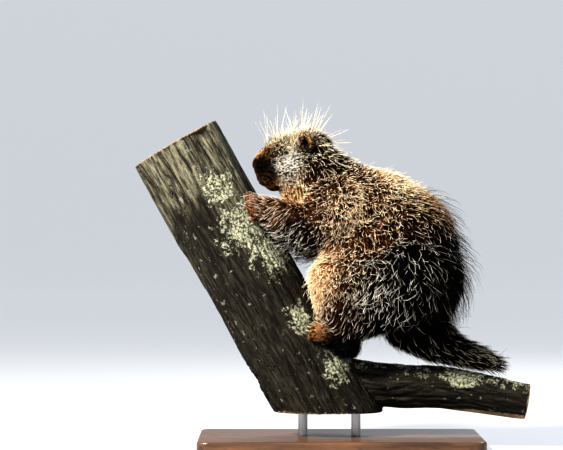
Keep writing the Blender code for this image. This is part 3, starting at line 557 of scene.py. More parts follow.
def press_face(points, normals):
    """Nostrils, the line of the mouth, and the split of the upper lip."""
    local = head_local(points)
    forward, out, up = local[:, 0], np.abs(local[:, 1]), local[:, 2]
    push = np.zeros(len(points))
    rise, lean = up - NOSTRIL[2], out - NOSTRIL[1] - 0.25 * (up - NOSTRIL[2])
    hole = np.hypot(lean / 0.0019, rise / 0.0031)
    front = smooth_step(0.088, 0.094, forward)
    push -= NOSTRIL_DEPTH * front * np.exp(-(hole ** 2.4))
    push += 0.0007 * front * bump(hole, 1.55, 0.4)
    gap = up - mouth_height(local)
    lips = smooth_step(0.058, 0.066, forward)
    push -= MOUTH_DEPTH * lips * bump(gap, 0, 0.0009)
    push += 0.0008 * lips * (bump(gap, 0.0026, 0.0016) + bump(gap, -0.0024, 0.0015))
    split = (up > mouth_height(local)) & (up < -0.009)
    push -= SPLIT_DEPTH * split * smooth_step(0.086, 0.092, forward) * bump(out, 0, 0.0008)
    wing = smooth_step(0.080, 0.090, forward)
    push -= 0.0010 * wing * bump(up, -0.0125, 0.0020) * bump(out, 0.0085, 0.004)
    return points + push[:, None] * normals


points = points_of(skin.data)
for side_name in SIDES:
    points = press_eye(points, side_name)
set_points(skin.data, points)
set_points(skin.data, press_face(points_of(skin.data), normals_of(skin.data)))
print("eyes at", [[round(v, 4) for v in eye_centre(side_name)] for side_name in SIDES])

# %% [markdown]
# ## Ears
# A porcupine's ear is a small round cup, almost hidden in the hair. It is cut from a sphere, given a wall,
# rounded with a subdivision surface, and fused with the skin by a Boolean, so that it grows out of it.
# The sphere is an icosphere, because its faces come in the same order on every run. The hair is planted
# face by face later, so a UV sphere here would move every hair from one run to the next.

# %% Ears
EAR = Vector((0.0026, 0.0365, 0.0005))
EAR_RADII = Vector((0.0092, 0.0112, 0.0126))
EAR_WALL = 0.0020
EAR_CUT = 0.22  # where the sphere is cut open, in radii ahead of its middle
EAR_OPENING = math.radians(58)
EAR_TILT = math.radians(-14)
EAR_REACH = 0.0165  # every place of an ear is within this of its middle


def ear_way(side_name):
    """The way that an ear's opening faces."""
    return HEAD_TURN @ Vector((math.cos(EAR_OPENING), -SIDES[side_name] * math.sin(EAR_OPENING), 0))


def ear_middle(side_name):
    return head_point(EAR.x, EAR.y, EAR.z, -SIDES[side_name])


def ear_cup(side_name):
    bm = bmesh.new()
    bmesh.ops.create_icosphere(bm, subdivisions=4, radius=1.0)
    every = bm.verts[:] + bm.edges[:] + bm.faces[:]
    bmesh.ops.bisect_plane(bm, geom=every, plane_co=(EAR_CUT, 0, 0), plane_no=(1, 0, 0), clear_outer=True)
    bmesh.ops.scale(bm, vec=EAR_RADII, verts=bm.verts)
    turn = Matrix.Rotation(EAR_OPENING, 4, "Z") @ Matrix.Rotation(EAR_TILT, 4, "X")
    flip = Matrix.Diagonal((1, -SIDES[side_name], 1, 1))
    place = Matrix.Translation(HEAD_AT) @ HEAD_TURN.to_4x4() @ flip @ Matrix.Translation(EAR) @ turn
    bmesh.ops.transform(bm, matrix=place, verts=bm.verts)
    ear = new_piece(f"cup_{side_name}", bm)
    wall = ear.modifiers.new("Wall", "SOLIDIFY")
    wall.thickness = EAR_WALL
    wall.offset = -1
    soft = ear.modifiers.new("Soft", "SUBSURF")
    soft.levels = soft.render_levels = 1
    return settle(ear)


for side_name in SIDES:
    cup = ear_cup(side_name)
    join = skin.modifiers.new("Ear", "BOOLEAN")
    join.operation = "UNION"
    join.solver = "MANIFOLD"
    join.object = cup
    settle(skin)
    bpy.data.objects.remove(cup)
keep_largest(skin)
smooth_shaded(skin)
print("skin with ears:", triangles_of(skin), "triangles")

# %% [markdown]
# ## Markings
# Each hair is dark at its root, has a coloured shaft, and may end in a pale tip. The shades change from
# place to place: a rufous nose bridge, a straw crown, a black and white cheek, orange shoulders, golden
# thighs, a black rump. Some marks also hold painted light and shadow: the golden front of the thigh and the
# pale rim of the lip are partly painted light, the black of the muzzle's side, behind and under the ears
# and at the elbow is partly painted shadow, and the black of the heel is painted shadow. Named marks with a
# centre and a reach hold them, and nearby marks blend. The skin and every tuft ask the same function, so
# they always agree. A real coat hangs in small locks, so a second function gives neighbouring hairs a
# shared share of light and dark; its dark locks also stand in part for painted shadow in the gaps between
# locks.

# %% Markings
INK = (0.006, 0.005, 0.004)
UMBER = (0.046, 0.021, 0.010)
BRICK = (0.145, 0.056, 0.021)
RUST = (0.245, 0.092, 0.030)
FOX = (0.410, 0.185, 0.068)
GOLD = (0.640, 0.340, 0.115)
HONEY = (0.300, 0.135, 0.045)
TAN = (0.440, 0.255, 0.115)
STRAW = (0.860, 0.690, 0.410)
CREAM = (0.930, 0.840, 0.640)
BONE = (0.900, 0.870, 0.790)
FLESH = (0.240, 0.140, 0.095)

# name: (place, reach, root, shaft, tip, share of pale-tipped hairs, slope of the hairs in degrees)
HEAD_MARKS = {
    "nose": ((0.101, 0.000, -0.004), 0.0060, UMBER, UMBER, RUST, 0.20, 26),
    "bridge": ((0.082, 0.000, 0.013), 0.0095, RUST, HONEY, STRAW, 0.50, 30),
    "bridge_top": ((0.062, 0.000, 0.018), 0.0100, UMBER, HONEY, STRAW, 0.70, 44),
    "forehead": ((0.048, 0.006, 0.018), 0.014, INK, UMBER, CREAM, 0.80, 66),
    # bridge_side, muzzle and jaw: the black of the muzzle's side is partly its own dark hair and partly
    # painted shadow
    "bridge_side": ((0.070, 0.018, 0.004), 0.013, INK, INK, GOLD, 0.18, 32),
    "muzzle": ((0.082, 0.018, -0.012), 0.016, INK, INK, UMBER, 0.10, 30),
    "jaw": ((0.076, 0.022, -0.028), 0.013, INK, INK, UMBER, 0.05, 30),
    # lip: its pale rim along the lower front is partly painted light
    "lip": ((0.098, 0.004, -0.022), 0.009, INK, UMBER, FLESH, 0.40, 34),
    "chin": ((0.080, 0.006, -0.050), 0.013, INK, UMBER, TAN, 0.15, 34),
    "eye": ((0.056, 0.027, 0.004), 0.010, INK, INK, STRAW, 0.40, 34),
    "eye_corner": ((0.044, 0.028, -0.004), 0.008, INK, INK, CREAM, 0.80, 36),
    "cheek": ((0.044, 0.031, -0.024), 0.021, INK, INK, BONE, 0.95, 40),
    "cheek_front": ((0.063, 0.026, -0.020), 0.011, INK, INK, BONE, 0.95, 38),
    "jowl": ((0.052, 0.026, -0.044), 0.017, INK, INK, BONE, 1.30, 44),
    "crown": ((0.014, 0.004, 0.024), 0.030, UMBER, HONEY, CREAM, 0.62, 78),
    "temple": ((0.030, 0.024, 0.012), 0.014, INK, UMBER, CREAM, 0.90, 58),
    "ear": ((0.004, 0.038, -0.002), 0.009, INK, INK, UMBER, 0.10, 50),
    "ear_rim": ((-0.007, 0.042, 0.000), 0.0075, UMBER, GOLD, GOLD, 0.50, 60),
    # behind_ear and under_ear: their black is partly painted shadow behind and under the ear
    "behind_ear": ((-0.018, 0.034, 0.004), 0.014, INK, INK, CREAM, 0.26, 50),
    "under_ear": ((0.004, 0.036, -0.024), 0.016, INK, INK, CREAM, 0.22, 42),
}
BODY_MARKS = {
    "nape": ((-0.020, 0.030, 0.505), 0.045, INK, INK, CREAM, 0.075, 50),
    "side_neck": ((-0.040, 0.055, 0.465), 0.030, INK, RUST, CREAM, 0.20, 64),
    "throat": ((-0.080, 0.010, 0.430), 0.034, BRICK, GOLD, STRAW, 0.55, 44),
    "shoulder": ((-0.052, 0.070, 0.412), 0.034, INK, RUST, CREAM, 0.12, 62),
    "withers": ((0.020, 0.040, 0.462), 0.040, INK, RUST, CREAM, 0.22, 60),
    "back": ((0.085, 0.020, 0.456), 0.040, UMBER, TAN, CREAM, 0.62, 50),
    # elbow: its dark coat is partly painted shadow under the elbow
    "elbow": ((-0.072, 0.070, 0.352), 0.036, INK, INK, BONE, 0.085, 50),
    "forearm": ((-0.112, 0.062, 0.405), 0.026, INK, FOX, BONE, 0.13, 26),
    "ribs": ((0.002, 0.085, 0.408), 0.034, INK, FOX, CREAM, 0.90, 54),
    "flank": ((0.035, 0.085, 0.375), 0.044, INK, FOX, CREAM, 0.20, 50),
    "side": ((0.090, 0.090, 0.390), 0.040, INK, RUST, CREAM, 0.15, 52),
    # thigh_front: its bright golden coat is partly painted sunlight
    "thigh_front": ((-0.030, 0.080, 0.300), 0.036, RUST, GOLD, CREAM, 0.70, 46),
    "knee": ((-0.046, 0.070, 0.260), 0.026, RUST, GOLD, CREAM, 0.55, 42),
    "thigh": ((0.022, 0.090, 0.290), 0.034, INK, BRICK, CREAM, 0.20, 46),
    "thigh_back": ((0.058, 0.090, 0.275), 0.034, INK, INK, BONE, 0.14, 44),
    "haunch": ((0.098, 0.090, 0.225), 0.042, INK, INK, BONE, 0.012, 42),
    "shank": ((0.000, 0.080, 0.236), 0.030, INK, BRICK, BONE, 0.05, 30),
    "hip": ((0.110, 0.090, 0.310), 0.036, INK, INK, BONE, 0.055, 50),
    "rump_top": ((0.150, 0.020, 0.412), 0.036, INK, UMBER, TAN, 0.30, 48),
    "rump": ((0.165, 0.060, 0.330), 0.045, INK, INK, BONE, 0.02, 46),
    "rear": ((0.190, 0.020, 0.250), 0.055, INK, INK, UMBER, 0.02, 42),
    "tail": ((0.235, 0.010, 0.165), 0.040, INK, INK, CREAM, 0.07, 22),
    "dock": ((0.160, 0.040, 0.190), 0.040, INK, INK, CREAM, 0.03, 26),
    "forepaw": ((-0.148, 0.060, 0.402), 0.024, INK, BRICK, RUST, 0.45, 24),
    "hindpaw": ((-0.036, 0.070, 0.206), 0.020, INK, FOX, TAN, 0.75, 28),
    # heel: its black coat is painted shadow
    "heel": ((0.010, 0.065, 0.175), 0.030, INK, INK, UMBER, 0.03, 36),
    "belly": ((0.040, 0.000, 0.270), 0.050, INK, UMBER, TAN, 0.10, 36),
}


def mark_table():
    rows = []
    for place, *rest in HEAD_MARKS.values():
        at = head_point(*place)
        rows.append(((at.x, abs(at.y), at.z), *rest))
    rows += list(BODY_MARKS.values())
    return rows


MARKS = mark_table()


def pelt(points):
    """(root, shaft, tip, share of pale hairs, slope) of the coat at every point."""
    folded = points * np.array((1, 0, 1)) + np.abs(points) * np.array((0, 1, 0))
    total = np.full(len(points), 1e-9)
    sums = np.zeros((len(points), 11))
    for place, reach, root, shaft, tip, pale, slope in MARKS:
        away = (folded - np.array(place)) * np.array((1, 0.6, 1))
        away = np.sum(away**2, axis=1)
        weight = np.exp(-1.6 * away / reach**2) + 1e-7 / (1e-4 + away)
        total += weight
        sums += weight[:, None] * np.array((*root, *shaft, *tip, pale, slope))
    sums /= total[:, None]
    return sums[:, 0:3], sums[:, 3:6], sums[:, 6:9], sums[:, 9], np.radians(sums[:, 10])


CLUMP = 0.0030  # the size of a lock of short hair


def mottle(points, size=0.0050):
    """From 0 to 1, in soft clumps of about that size: hairs of a clump share their shade."""
    values = np.array([noise.noise(Vector(point) / size) for point in points.tolist()])
    return np.clip(0.5 + 2.0 * values, 0.0, 1.0)


root_shades = pelt(points_of(skin.data))[0]
print("marks:", len(MARKS), "mean root shade:", root_shades.mean(axis=0).round(3))

# %% [markdown]
# ## The lie of the coat
# Hair lies back from the nose, over the crown, down the flanks and along each leg. On the body the way is
# blended from the masses near a place, with a droop for the weight of the hairs. On the head it runs away
# from the nose. The paws and the ears have ways of their own.

# %% Lie of the coat
DROOP = 0.55  # how far the hairs hang from the line of their mass
DROOPS = {"forearm": 0.9, "dock": 0.0, "tail": 0.0, "thigh": 1.5, "fold": 2.4, "calf": 0.9}
BLEND = 0.008  # how softly one mass's lie gives way to the next
LEAST_COAT, LID_COAT, BRIDGE_COAT, EAR_COAT, TOE_COAT = 0.0017, 0.0016, 0.0064, 0.0044, 0.0020
# a place on the plane between head and neck, and the way that it faces
NECK_CUT = (Vector((-0.064, 0, 0.484)), Vector((-0.892, 0, 0.453)).normalized())


def unit(vectors):
    return vectors / np.maximum(np.linalg.norm(vectors, axis=1, keepdims=True), 1e-9)


def mass_distance(points, name):
    """How far each point stands off a mass, under its coat."""
    start, start_radius, end, end_radius, breadth, _ = MASSES[name]
    a, line = np.array(start), np.array(end - start)
    flat = points.copy()
    flat[:, 1] = a[1] + (points[:, 1] - a[1]) / breadth
    share = np.clip((flat - a) @ line / line.dot(line), 0, 1)
    radius = start_radius + share * (end_radius - start_radius)
    return np.linalg.norm(flat - a - share[:, None] * line, axis=1) - radius


def lie_on_body(points):
    way, depth, total = np.zeros_like(points), np.zeros(len(points)), np.zeros(len(points))
    for name, (start, _, end, _, _, coat) in MASSES.items():
        away = np.maximum(0, mass_distance(points, name) - coat)
        weight = np.exp(-away / BLEND)
        line = np.array(end - start)
        lie = line / np.linalg.norm(line)
        droop = next((value for kind, value in DROOPS.items() if name.startswith(kind)), DROOP)
        lie = lie + np.array((0, 0, -droop))
        lie /= np.linalg.norm(lie)
        way += weight[:, None] * lie
        depth += weight * coat
        total += weight
    return way / total[:, None], depth / total


def lie_on_head(points):
    local = head_local(points)
    forward, out, up = local.T
    back = np.stack((-0.05 - np.abs(forward - 0.09), 0.6 * out, 0.5 * (up + 0.010)), axis=1)
    depth, total = np.zeros(len(points)), np.zeros(len(points))
    for name, (centre, radii, coat) in HEAD.items():
        away = np.linalg.norm((local - np.array(centre)) / (np.array(radii) + coat), axis=1)
        weight = np.exp(-np.maximum(0, away - 1) / 0.12)
        depth += weight * coat * (1 if name == "cranium" else 1 - FACE_CORE)
        total += weight
    depth = np.maximum(depth / total, BRIDGE_COAT * (1 - smooth_step(0.060, 0.078, forward)))
    for side_name in SIDES:
        near_eye = distance(points, eye_centre(side_name))
        depth = np.minimum(depth, LID_COAT + 0.0070 * smooth_step(0.006, 0.018, near_eye))
    return unit(back @ np.array(HEAD_TURN).T), np.maximum(depth, LEAST_COAT)


def wildness(points):
    """How far hairs stray from the lie: little on the head, paws and tail, much on the flanks."""
    body = smooth_step(-0.075, -0.015, points[:, 0]) * (1 - smooth_step(0.150, 0.185, points[:, 0]))
    body *= smooth_step(0.22, 0.30, points[:, 2]) * (1 - 0.5 * smooth_step(0.44, 0.48, points[:, 2]))
    return 0.34 + 0.66 * body


def coat_lie(points):
    """(the way that the coat lies, its depth) at every point."""
    way, depth = lie_on_body(points)
    head_way, head_depth = lie_on_head(points)
    beyond = (points - np.array(NECK_CUT[0])) @ np.array(NECK_CUT[1])
    head = smooth_step(-0.012, 0.012, beyond) * (points[:, 2] > 0.43)
    way = unit(way) * (1 - head[:, None]) + head_way * head[:, None]
    depth = depth * (1 - head) + head_depth * head
    for which, side_name in SETBACK:
        cuff, heel, ball = (np.array(paw_place(which, side_name, what)[0])
                            for what in ("cuff", "heel", "ball"))
        toes = toe_places(which, side_name, "toe")[0]
        front = np.mean([np.array(toe) for toe in toes], axis=0)
        middle = (ball + front) / 2 if which == "fore" else ball
        paw = 1 - smooth_step(0.020, 0.036, distance(points, middle))
        onward = front - (heel if which == "fore" else cuff)
        way = way * (1 - paw[:, None]) + onward / np.linalg.norm(onward) * paw[:, None]
        from_toes = np.min([distance(points, toe) for toe in toes], axis=0)
        on_paw = TOE_COAT + 0.0050 * smooth_step(0.006, 0.020, from_toes)
        depth = depth * (1 - paw) + on_paw * paw
    for side_name in SIDES:
        middle = np.array(ear_middle(side_name))
        back = middle - 0.010 * np.array(ear_way(side_name))
        ear = (distance(points, middle) < EAR_REACH) & (np.abs(points[:, 1]) > 0.030)
        ear &= np.abs((points - middle) @ np.array(HEAD_TURN)[:, 1]) < 0.02
        way[ear] = unit(points[ear] - back)
        depth[ear] = EAR_COAT
    return unit(way), depth


_, depths = coat_lie(points_of(skin.data))
print("coat depth from", (depths.min() * 1000).round(1), "to", (depths.max() * 1000).round(1), "mm")

# %% [markdown]
# ## Tufts
# A tuft is a thin closed spike: a small ring of three corners at its root, one or more rings where it
# bends, and a point. Thousands of them are joined in one mesh from arrays, which is quick and light. Each
# starts just under the skin, follows it down the lie of the coat, rises to the coat's depth, and may curl
# to one side.

# %% Tuft paths
SEED = 11
SINK = 0.0022  # how deep a tuft's root lies under the skin
dice = np.random.default_rng(SEED)
skin_mesh = skin.data
skin_mesh.calc_loop_triangles()
corner = np.empty(len(skin_mesh.loop_triangles) * 3, np.int32)
skin_mesh.loop_triangles.foreach_get("vertices", corner)
corner = corner.reshape(-1, 3)
skin_points, skin_normals = points_of(skin_mesh), normals_of(skin_mesh)
skin_tree = BVHTree.FromPolygons(skin_points.tolist(), corner.tolist())


def nearest(points):
    """(the nearest skin point, the skin's normal there) for every point."""
    places, normals = np.empty_like(points), np.empty_like(points)
    for row, point in enumerate(points.tolist()):
        place, normal, _, _ = skin_tree.find_nearest(point)
        places[row], normals[row] = place, normal
    return places, normals


def scatter(count, density):
    """Evenly spread (places, normals) on the skin; density is a number for every triangle."""
    a, b, c = (skin_points[corner[:, i]] for i in range(3))
    areas = np.linalg.norm(np.cross(b - a, c - a), axis=1) / 2 * density
    ladder = np.cumsum(areas) / areas.sum()
    picks = np.searchsorted(ladder, (np.arange(count) + dice.random(count)) / count)
    picks = np.minimum(picks, len(areas) - 1)
    u, v = dice.random(count), dice.random(count)
    over = u + v > 1
    u[over], v[over] = 1 - u[over], 1 - v[over]
    w = 1 - u - v
    spread, tilt = (
        sum(share[:, None] * values[corner[picks, i]] for i, share in enumerate((w, u, v)))
        for values in (skin_points, skin_normals)
    )
    return spread, unit(tilt)


def across_skin(way, normals, stray):
    """Ways turned into the skin's plane, and off the lie by the angles in stray."""
    flat = unit(way - normals * np.sum(way * normals, axis=1, keepdims=True))
    side = np.cross(normals, flat)
    return flat * np.cos(stray)[:, None] + side * np.sin(stray)[:, None]


def tuft_paths(roots, normals, height, slope, curl, stray, shares, sink=SINK):
    """The points of every tuft, from under the skin to its tip, as one array for each ring."""
    reach = height / np.tan(slope)
    path = [roots - normals * sink]
    place, up, before = roots, normals, 0.0
    for share in shares:
        way = across_skin(coat_lie(place)[0], up, stray)
        place, up = nearest(place + way * (reach * (share - before))[:, None])
        side = np.cross(up, way)
        rise = height * (1 - (1 - share) ** 1.5)
        path.append(place + up * rise[:, None] + side * (curl * (reach + height) * share**2)[:, None])
        before = share
    return path


def spike_paths(roots, normals, length, slope, curl, stray, shares):
    """Like tuft_paths, but for stiff hairs that stand out straight."""
    flat = across_skin(coat_lie(roots)[0], normals, stray)
    way = flat * np.cos(slope)[:, None] + normals * np.sin(slope)[:, None]
    side = np.cross(normals, flat)
    path = [roots - normals * SINK]
    for share in shares:
        path.append(roots + way * (length * share)[:, None] + side * (curl * length * share**2)[:, None])
    return path


print("skin area:", round(sum(face.area for face in skin_mesh.polygons), 3), "square metres")

# %% [markdown]
# Every tuft needs a place on the coat's picture map, called OFBake. Each part of the skin is unrolled like
# a label off a can, round the line through its masses, and a tuft's own faces fill a tiny patch where its
# root lands. So a tuft's shades stay its own when they are printed on a picture.

# %% Tuft meshes
PATCH = 0.003  # the side of one tuft's patch on the picture map
MARGIN = 0.004  # the empty rim of the map


def unroll(points, line):
    """Places (0 to 1) round and along a line of points, for the roots of one part of the coat."""
    line = np.array([tuple(point) for point in line])
    steps = np.linalg.norm(np.diff(line, axis=0), axis=1)
    starts = np.concatenate(((0,), np.cumsum(steps)))
    best, along, spoke = np.full(len(points), 1e9), np.zeros(len(points)), np.zeros_like(points)
    heading = np.zeros(3)
    for row, (a, b) in enumerate(zip(line, line[1:])):
        way = (b - a) / steps[row]
        run = (points - a) @ way
        low, high = (-1e9 if row == 0 else 0), (1e9 if row == len(steps) - 1 else steps[row])
        held = np.clip(run, low, high)
        off = points - a - held[:, None] * way
        away = np.linalg.norm(off, axis=1)
        closer = away < best
        best[closer], along[closer], spoke[closer] = away[closer], (starts[row] + held)[closer], off[closer]
        heading = heading + way
    heading /= np.linalg.norm(heading)
    side = np.array((0.0, 1.0, 0.0))
    up = np.cross(heading, side)
    turn = np.arctan2(spoke @ side, spoke @ up)
    flat = np.stack((turn, along), axis=1)
    low, high = flat.min(axis=0), flat.max(axis=0)
    return MARGIN + (flat - low) / (high - low) * (1 - 2 * MARGIN - PATCH)


def tuft_frames(path, spin):
    """For every ring, the two ways across the tuft, turned about it by spin."""
    frames = []
    for before, after in zip(path[:-1], path[1:]):
        way = unit(after - before)
        side = unit(np.cross(way, np.array((0.13, 0.31, 0.94))))
        up = np.cross(side, way)
        frames.append((side * np.cos(spin)[:, None] + up * np.sin(spin)[:, None],
                       up * np.cos(spin)[:, None] - side * np.sin(spin)[:, None]))
    return frames


def tuft_template(rings):
    """(faces of one tuft, the place of each of their corners on the tuft's patch)"""
    faces = [(2, 1, 0)]
    patch = [((1.0, 0.0), (0.5, 0.0), (0.0, 0.0))]
    for ring in range(rings - 1):
        low, high = ring / rings, (ring + 1) / rings
        for side in range(3):
            a, b = ring * 3 + side, ring * 3 + (side + 1) % 3
            faces.append((a, b, b + 3, a + 3))
            patch.append(((side / 3, low), ((side + 1) / 3, low), ((side + 1) / 3, high), (side / 3, high)))
    last, low = rings * 3 - 3, (rings - 1) / rings
    for side in range(3):
        faces.append((last + side, last + (side + 1) % 3, rings * 3))
        patch.append(((side / 3, low), ((side + 1) / 3, low), ((side + 0.5) / 3, 1.0)))
    return faces, patch


def tuft_arrays(path, widths, ring_shares, shades, spin):
    """The roots, corners, tints and faces of many closed three-sided spikes.

    widths has a number for each tuft and ring_shares one for each ring. shades has an array of colours
    for each ring and one for the tips.
    """
    count, rings = len(path[0]), len(ring_shares)
    corners = np.empty((count, rings * 3 + 1, 3))
    tints = np.empty((count, rings * 3 + 1, 3))
    for ring, (share, (side, up)) in enumerate(zip(ring_shares, tuft_frames(path, spin))):
        wide = (widths * share)[:, None]
        corners[:, ring * 3] = path[ring] + side * wide * 0.50 - up * wide * 0.20
        corners[:, ring * 3 + 1] = path[ring] + up * wide * 0.40
        corners[:, ring * 3 + 2] = path[ring] - side * wide * 0.50 - up * wide * 0.20
        tints[:, ring * 3:ring * 3 + 3] = shades[ring][:, None, :]
    corners[:, -1], tints[:, -1] = path[-1], shades[-1]
    faces, patch = tuft_template(rings)
    sizes = np.array([len(face) for face in faces])
    loops = np.concatenate([np.array(face) for face in faces])
    spots = np.concatenate([np.array(places) for places in patch])
    return {
        "roots": path[1],
        "corners": corners.reshape(-1, 3),
        "tints": tints.reshape(-1, 3),
        "loops": (loops[None, :] + (np.arange(count) * (rings * 3 + 1))[:, None]).ravel(),
        "sizes": np.tile(sizes, count),
        "spots": np.tile(spots, (count, 1)),
        "owner": np.repeat(np.arange(count), len(loops)),
    }


def coat_mesh(name, line, batches):
    """One joined mesh of several batches of tufts, with its picture map."""
    roots = np.concatenate([batch["roots"] for batch in batches])
    patches = unroll(roots, line)
    corners = np.concatenate([batch["corners"] for batch in batches])
    loops, owners, first_corner, first_root = [], [], 0, 0
    for batch in batches:
        loops.append(batch["loops"] + first_corner)
        owners.append(batch["owner"] + first_root)
        first_corner += len(batch["corners"])
        first_root += len(batch["roots"])
    loops, owners = np.concatenate(loops), np.concatenate(owners)
    sizes = np.concatenate([batch["sizes"] for batch in batches])
    mesh = bpy.data.meshes.new(name)
    mesh.vertices.add(len(corners))
    mesh.vertices.foreach_set("co", corners.astype(np.float32).ravel())
    mesh.loops.add(len(loops))
    mesh.loops.foreach_set("vertex_index", loops.astype(np.int32))
    mesh.polygons.add(len(sizes))
    mesh.polygons.foreach_set("loop_start", np.concatenate(((0,), np.cumsum(sizes)[:-1])).astype(np.int32))
    mesh.polygons.foreach_set("use_smooth", np.ones(len(sizes), bool))
    mesh.update(calc_edges=True)
    flat = mesh.uv_layers.new(name="OFBake")
    spots = np.concatenate([batch["spots"] for batch in batches])
    flat.data.foreach_set("uv", (patches[owners] + spots * PATCH).astype(np.float32).ravel())
    set_colours(mesh, "shade", np.concatenate([batch["tints"] for batch in batches]))
    piece = bpy.data.objects.new(name, mesh)
    bpy.context.scene.collection.objects.link(piece)
    return piece


print("one tuft of three rings has", sum(len(face) - 2 for face in tuft_template(3)[0]), "triangles")

# %% [markdown]
# ## Growing the coat
# The coat is grown in sorts: fine short hair on the face, ears and paws, deep bristly fur on the body,
# pale-tipped awns among it, and sparse long guard hairs on the crown, rump and tail. Hair keeps clear of
# the eyes, the nostrils, the ear openings and the claws. Each sort is then split into the parts of the
# body, so that no piece grows too large.

# %% Keep clear of eyes, ears, nostrils and claws
def clear_zones():
    """Balls that no tuft may enter, as (middle, radius)."""
    zones = []
    for side_name in SIDES:
        eye, way = eye_centre(side_name), eye_way(side_name)
        ear = ear_middle(side_name) + 0.0060 * ear_way(side_name)
        nostril = head_point(0.1010, NOSTRIL[1] * -SIDES[side_name], NOSTRIL[2])
        zones += [(eye + 0.0030 * way, 0.0056), (eye + 0.0090 * way, 0.0064)]
        zones += [(ear, 0.0056), (nostril, 0.0044)]
    for which, side_name in SETBACK:
        toes, tips = (toe_places(which, side_name, what)[0] for what in ("toe", "claw"))
        zones += [(toe.lerp(tip, 0.75), 0.0046) for toe, tip in zip(toes, tips)]
    return zones


CLEAR = clear_zones()


def is_clear(path):
    good = np.ones(len(path[0]), bool)
    for middle, radius in CLEAR:
        for before, after in zip(path[1:], path[2:] + [path[-1]]):
            for spot in (before, (before + after) / 2):
                good &= distance(spot, middle) > radius
    return good


def inside_ears(middles, normals):
    """The triangles in the hollow of the ears."""
    inside = np.zeros(len(middles), bool)
    for side_name in SIDES:
        way = np.array(ear_way(side_name))
        from_ear = middles - np.array(ear_middle(side_name))
        near = np.linalg.norm(from_ear, axis=1) < 0.0125
        inside |= near & (normals @ way > 0.10) & (from_ear @ way < 0.0008)
    return inside


def under_paws(middles, normals):
    """The palms and soles: the triangles that touch the bark or face it from close by."""
    spoke = middles - np.array(LIMB_GRIP)
    spoke -= (spoke @ np.array(LIMB_DOWN))[:, None] * np.array(LIMB_DOWN)
    away = np.linalg.norm(spoke, axis=1)
    inward = np.sum(unit(spoke) * unit(normals), axis=1) < -0.35
    under = (away < LIMB_RADIUS + 0.004) | (inward & (away < LIMB_RADIUS + 0.02))
    return under & (middles[:, 2] < 0.435)


SHORT_COAT = 0.0046  # where the coat is shallower than this, only short hair grows
triangle_middles = skin_points[corner].mean(axis=1)
triangle_normals = skin_normals[corner].mean(axis=1)
_, triangle_depths = coat_lie(triangle_middles)
is_short = triangle_depths < SHORT_COAT
bare = inside_ears(triangle_middles, triangle_normals) | under_paws(triangle_middles, triangle_normals)
triangle_normals = unit(triangle_normals)
print("short-haired share of the skin:", is_short.mean().round(2), "bare:", bare.mean().round(2))


# %% Parts of the coat
def part_lines():
    """For each part of the coat, the line that its skin is unrolled round."""
    lines = {
        "face": [head_point(0.02, 0, -0.016), head_point(0.06, 0, -0.016), head_point(0.10, 0, -0.016)],
        "head": [head_point(-0.04, 0, -0.016), head_point(0.00, 0, -0.016), head_point(0.04, 0, -0.016)],
        "neck": [Vector((-0.080, 0, 0.480)), Vector((-0.010, 0, 0.420))],
        "tail": [Vector((0.118, 0, 0.214)), Vector((0.180, 0, 0.170)), Vector((0.262, 0, 0.144))],
    }
    for side_name in SIDES:
        lines[f"chest_{side_name}"] = [Vector((-0.010, 0, 0.420)), Vector((0.055, 0, 0.378))]
        lines[f"rump_{side_name}"] = [Vector((0.055, 0, 0.378)), Vector((0.102, 0, 0.345)),
                                      Vector((0.124, 0, 0.285)), Vector((0.128, 0, 0.235))]
        for leg, upper, lower in (("foreleg", "shoulder", "forearm"), ("hindleg", "thigh", "shank")):
            top, bottom = MASSES[f"{upper}_{side_name}"], MASSES[f"{lower}_{side_name}"]
            lines[f"{leg}_{side_name}"] = [top[0], bottom[0], bottom[2]]
    return lines


PART_LINES = part_lines()
PART_OF = {
    "neck": "neck", "throat": "neck", "chest": "chest", "belly": "chest", "back": "rump", "rump": "rump",
    "seat": "rump", "dock": "tail", "tail": "tail", "shoulder": "foreleg", "forearm": "foreleg",
    "thigh": "hindleg", "fold": "hindleg", "calf": "hindleg", "shank": "hindleg",
}


def part_at(points):
    """The part of the coat that each root belongs to."""
    names = sorted(PART_LINES)
    best, part = np.full(len(points), 1e9), np.zeros(len(points), int)
    left = points[:, 1] < 0
    for name in MASSES:
        home = PART_OF[name.partition("_")[0]]
        away = mass_distance(points, name)
        closer = away < best
        best[closer] = away[closer]
        if home in names:
            part[closer] = names.index(home)
        else:
            part[closer] = np.where(left[closer], names.index(f"{home}_left"), names.index(f"{home}_right"))
    beyond = (points - np.array(NECK_CUT[0])) @ np.array(NECK_CUT[1])
    on_head = (beyond > 0) & (points[:, 2] > 0.43)
    on_front = head_local(points)[on_head, 0] > 0.036
    part[on_head] = np.where(on_front, names.index("face"), names.index("head"))
    return part, names


beds = {}


def plant(layer, path, widths, ring_shares, shades):
    """Keeps the tufts of one sort that are clear, by the part of the body that they grow on."""
    good = is_clear(path)
    path, widths, shades = [ring[good] for ring in path], widths[good], [shade[good] for shade in shades]
    part, names = part_at(path[1])
    spin = dice.uniform(0, math.tau, len(path[0]))
    for number, name in enumerate(names):
        here = part == number
        if here.any():
            batch = tuft_arrays([ring[here] for ring in path], widths[here], ring_shares,
                                [shade[here] for shade in shades], spin[here])
            beds.setdefault((layer, name), []).append(batch)


def planted():
    return sum(int((batch["sizes"] - 2).sum()) for batches in beds.values() for batch in batches)


def sow(count, density):
    """(places, normals, coat's depth, coat's shades and slope) for the roots of new tufts."""
    roots, normals = scatter(count, density)
    return roots, normals, coat_lie(roots)[1], pelt(roots)


def varied(shade, amount):
    """A shade for each tuft, lighter or darker by up to amount."""
    return np.clip(shade * dice.uniform(1 - amount, 1 + amount, (len(shade), 1)), 0, 1)


print("parts of the coat:", len(PART_LINES))


